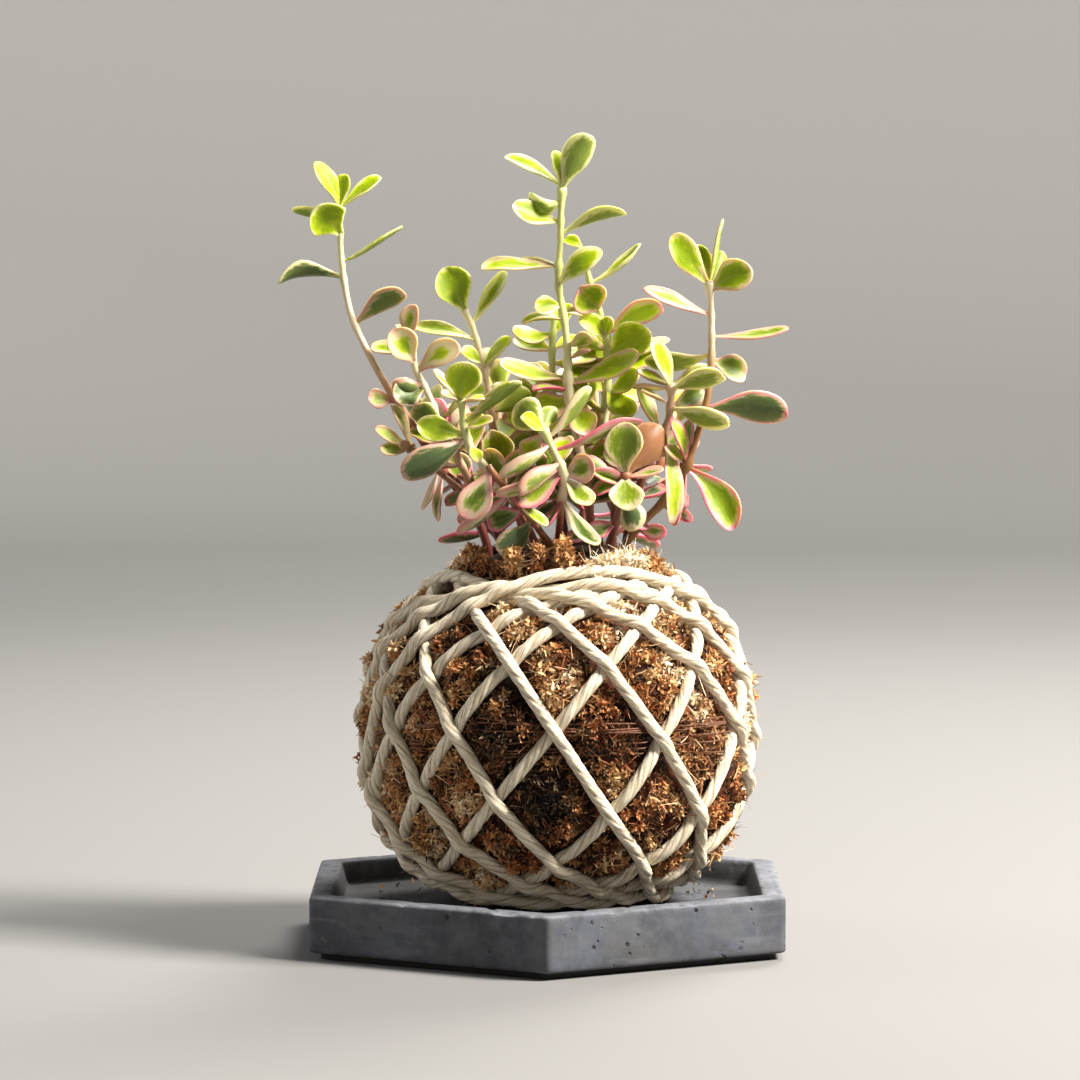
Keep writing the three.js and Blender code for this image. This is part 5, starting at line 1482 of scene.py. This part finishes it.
def hidden_leaves(curve, highest, random):
    """Small leaves that point back from a stem, so that no light shows through the dense middle."""
    found = []
    for mark in np.arange(FILL_STEP, curve.length, FILL_STEP):
        share = mark / curve.length
        root = curve.at(share)[0]
        if not FILL_LOW < root[2] < highest:
            continue
        along = curve.along(share)[0]
        turn = random.uniform(-0.05, 1.05) * math.pi
        out = np.array([math.cos(turn), math.sin(turn), 0])
        out = unit(out - along * (out @ along))
        lift = math.radians(random.uniform(-5, 45))
        reach = out * math.cos(lift) + along * math.sin(lift)
        facing = along * 0.6 + np.array([0, -1, 0]) * random.uniform(0, 1)
        normal = unit(facing - reach * (facing @ reach))
        tip = root + reach * random.uniform(*FILL_LENGTH)
        width = random.uniform(*FILL_WIDTH)
        found.append((root, tip, normal, width, random.uniform(-1.2, -0.3), []))
    return found


def back_leaves(curve, pairs, draw):
    """Pairs of leaves, each pair across the one below."""
    found = []
    for pair in range(pairs):
        share = PAIR_FIRST + (PAIR_LAST - PAIR_FIRST) * pair / (pairs - 1)
        root = curve.at(share)[0]
        along = curve.along(share)[0]
        side = unit(np.cross([0, 1, 0], along))
        front = np.cross(along, side)
        turn = PAIR_TURN + pair * math.pi / 2 + draw(-0.35, 0.35)
        for half in (0, math.pi):
            out = side * math.cos(turn + half) + front * math.sin(turn + half)
            top = pair == pairs - 1
            lift = PAIR_LIFT * (TOP_LIFT if top else draw(0.6, 1.5))
            long = (TOP_LEAF if top else BACK_LEAF) + draw(-1.5, 2.5)
            reach = out * math.cos(lift) + along * math.sin(lift)
            normal = unit(along - reach * (along @ reach))
            width = draw(6.5, 8.5)
            found.append((root, root + reach * long, normal, width, draw(-1.4, -0.4), []))
    return found


def leaf_tint(root, tip, knot, random):
    """[young, pink, rim] of a leaf: young and green high up and in the middle, pink at the edges low down.
    In the middle the youth is partly painted light on leaves in shade.
    """
    middle = 0.5 * (root[2] + tip[2])
    height = (middle - LEAF_COLOURS[0]) / LEAF_COLOURS[1]
    top = knot * smooth(middle, 128, 152)
    # Inner leaves younger and brighter: partly their own colour, partly painted light on the shaded middle.
    inner = 0.35 * smooth(tip[2], 144, 158) * smooth(abs(tip[0] - 6), 34, 18)
    young = np.clip(0.02 + 0.55 * height + 0.6 * top + inner + random.normal(0, 0.1), 0, 1)
    pink = np.clip(1.15 - 0.95 * height - 0.35 * top + random.normal(0, 0.16), 0.1, 1)
    return young, pink, random.uniform(0, 1)


def stem_curve(places):
    """The curve of a stem, from its foot in the soil through its places."""
    foot = places[0] * [1, 1, 0] + [0, 0, STEM_FOOT]
    return Curve([foot, (foot + places[0]) / 2, *places])


def build_shoot(name, curve, thick, leaves, seed, leaf, stem):
    """A stem as one piece and all its leaves as another."""
    random = np.random.default_rng(seed)
    shares = np.linspace(0, 1, STEM_MARKS)
    marks = curve.at(shares)
    knots = [shares[np.linalg.norm(marks - root, axis=1).argmin()] for root, *_ in leaves]
    points, faces, caps = stem_tube(curve, thick, STEM_THIN, knots)
    height = (points[:, 2] - STEM_COLOURS[0]) / STEM_COLOURS[1]
    height = height + YOUNG_STEMS.get(name, 0) * smooth(points[:, 2], 118, 145)
    red = random.uniform(0, 0.5)
    brown = BROWN_STEMS.get(name, 0.3 * random.uniform(0, 1))
    make_piece("stem_" + name, points, [faces, caps], stem, {"stem": vectors(height, red, brown)},
               ["shoot_" + name])
    parts, tips, tints, ambers_and_light = [], [], [], []
    start = 0
    for order, (root, tip, normal, width, arch, tint) in enumerate(leaves):
        sway = LEAF_SWAYS.get((name, order))
        points, faces, caps, values = blade(root, tip, normal, width, arch, random, sway)
        parts.append((points, faces, values))
        tips.append(caps + start)
        chance = leaf_tint(root, tip, knots[order], random)
        # Painted light for leaves in the shaded middle of the plant.
        painted_light = smooth(root[2], 136, 146) * smooth(root[2], 190, 176) * smooth(abs(tip[0] - 8), 38, 24)
        tints.append(np.tile(tint or chance, (len(points), 1)))
        ambers_and_light.append(np.tile([float((name, order) in AMBER_LEAVES), painted_light, 0], (len(points), 1)))
        start += len(points)
    points, faces, values = stacked(parts)
    # The amber values hold how amber a leaf is and the painted light on it.
    stored = {"blade": values[:, :3], "flat": values[:, 3:], "tint": np.concatenate(tints),
              "amber": np.concatenate(ambers_and_light)}
    make_piece("leaves_" + name, points, [faces, np.concatenate(tips)], leaf, stored)


def build_shoots():
    leaf, stem = leaf_paint(), stem_paint()
    for order, (name, places) in enumerate(STEMS.items()):
        curve = stem_curve([seen(x, z, depth) for x, z, depth in places])
        leaves = front_leaves(curve, LEAVES[name])
        leaves += hidden_leaves(curve, FILLED.get(name, 0), np.random.default_rng(HIDDEN_SEED + order))
        build_shoot(name, curve, STEM_THICK + STEM_GROWTH * len(places), leaves, order, leaf, stem)
    draw = drawer(PAIR_SEED)
    for order, (name, (places, pairs)) in enumerate(BACK_SHOOTS.items()):
        curve = stem_curve(np.array(places, float))
        leaves = back_leaves(curve, pairs, draw)
        build_shoot(name, curve, STEM_THICK_BACK, leaves, BACK_SEED + order, leaf, stem)


# Floor, lights and camera

def build_stage():
    """A pale round floor that curves up into a pale wall far off on all sides. It is painted darker near the
    middle as painted shade against the lamps' pool of light there, and paler far off.
    """
    paint = Paint("floor", 0.9, 0.2)
    far = paint.add("ShaderNodeVectorMath", {0: paint.place()}, operation="LENGTH").outputs["Value"]
    # Painted shade near the middle, where the lamps light the floor most; paler further out.
    paint.finish(paint.mix(paint.step(far, 1.0, 2.5), (0.2, 0.198, 0.196), (0.56, 0.555, 0.55)))
    profile = [(reach, 0) for reach in STAGE_RINGS]
    profile += [(STAGE_FLAT + STAGE_COVE * math.sin(a), STAGE_COVE - STAGE_COVE * math.cos(a))
                for a in np.linspace(0.1, math.pi / 2, STAGE_ARCS)]
    profile.append((STAGE_FLAT + STAGE_COVE, STAGE_HEIGHT))
    turn = angles(STAGE_COLUMNS)
    rows = [vectors(reach * np.cos(turn), reach * np.sin(turn), z) for reach, z in profile]
    points = np.vstack([*rows, [[0, 0, 0]]]) * MM
    faces = grid_faces(len(rows), STAGE_COLUMNS)[:, ::-1].tolist()
    middle = fan(len(points) - 1, 0, STAGE_COLUMNS, up=True).tolist()
    mesh = bpy.data.meshes.new("floor")
    mesh.from_pydata(points.tolist(), [], faces + middle)
    mesh.shade_smooth()
    mesh.materials.append(paint.material)
    floor = bpy.data.objects.new("floor", mesh)
    scene.collection.objects.link(floor)


def add_aimed(name, data, place, toward):
    """A lamp or a camera that stands at a place and looks toward another."""
    thing = bpy.data.objects.new(name, data)
    thing.location = Vector(place) * MM
    thing.rotation_euler = (Vector(toward) - Vector(place)).to_track_quat("-Z", "Y").to_euler()
    scene.collection.objects.link(thing)
    return thing


def build_lights():
    for name, place, toward, size, power, colour in LIGHTS:
        lamp = bpy.data.lights.new(name, "AREA")
        lamp.size = size * MM
        lamp.energy = power
        lamp.color = colour
        add_aimed(name, lamp, place, toward)
    scene.view_settings.view_transform = "Standard"
    world = bpy.data.worlds.new("studio")
    world.use_nodes = True
    background = world.node_tree.nodes["Background"]
    background.inputs["Color"].default_value = ROOM_COLOUR
    background.inputs["Strength"].default_value = ROOM_LIGHT
    scene.world = world


def build_camera():
    lens = bpy.data.cameras.new("camera")
    lens.lens = CAMERA_LENS
    lens.sensor_width = SENSOR_WIDTH
    scene.camera = add_aimed("camera", lens, CAMERA_AT, CAMERA_TO)


build_camera()
build_stage()
build_lights()
build_tray()
build_cord()
build_moss()
build_thread()
build_soil()
build_shoots()
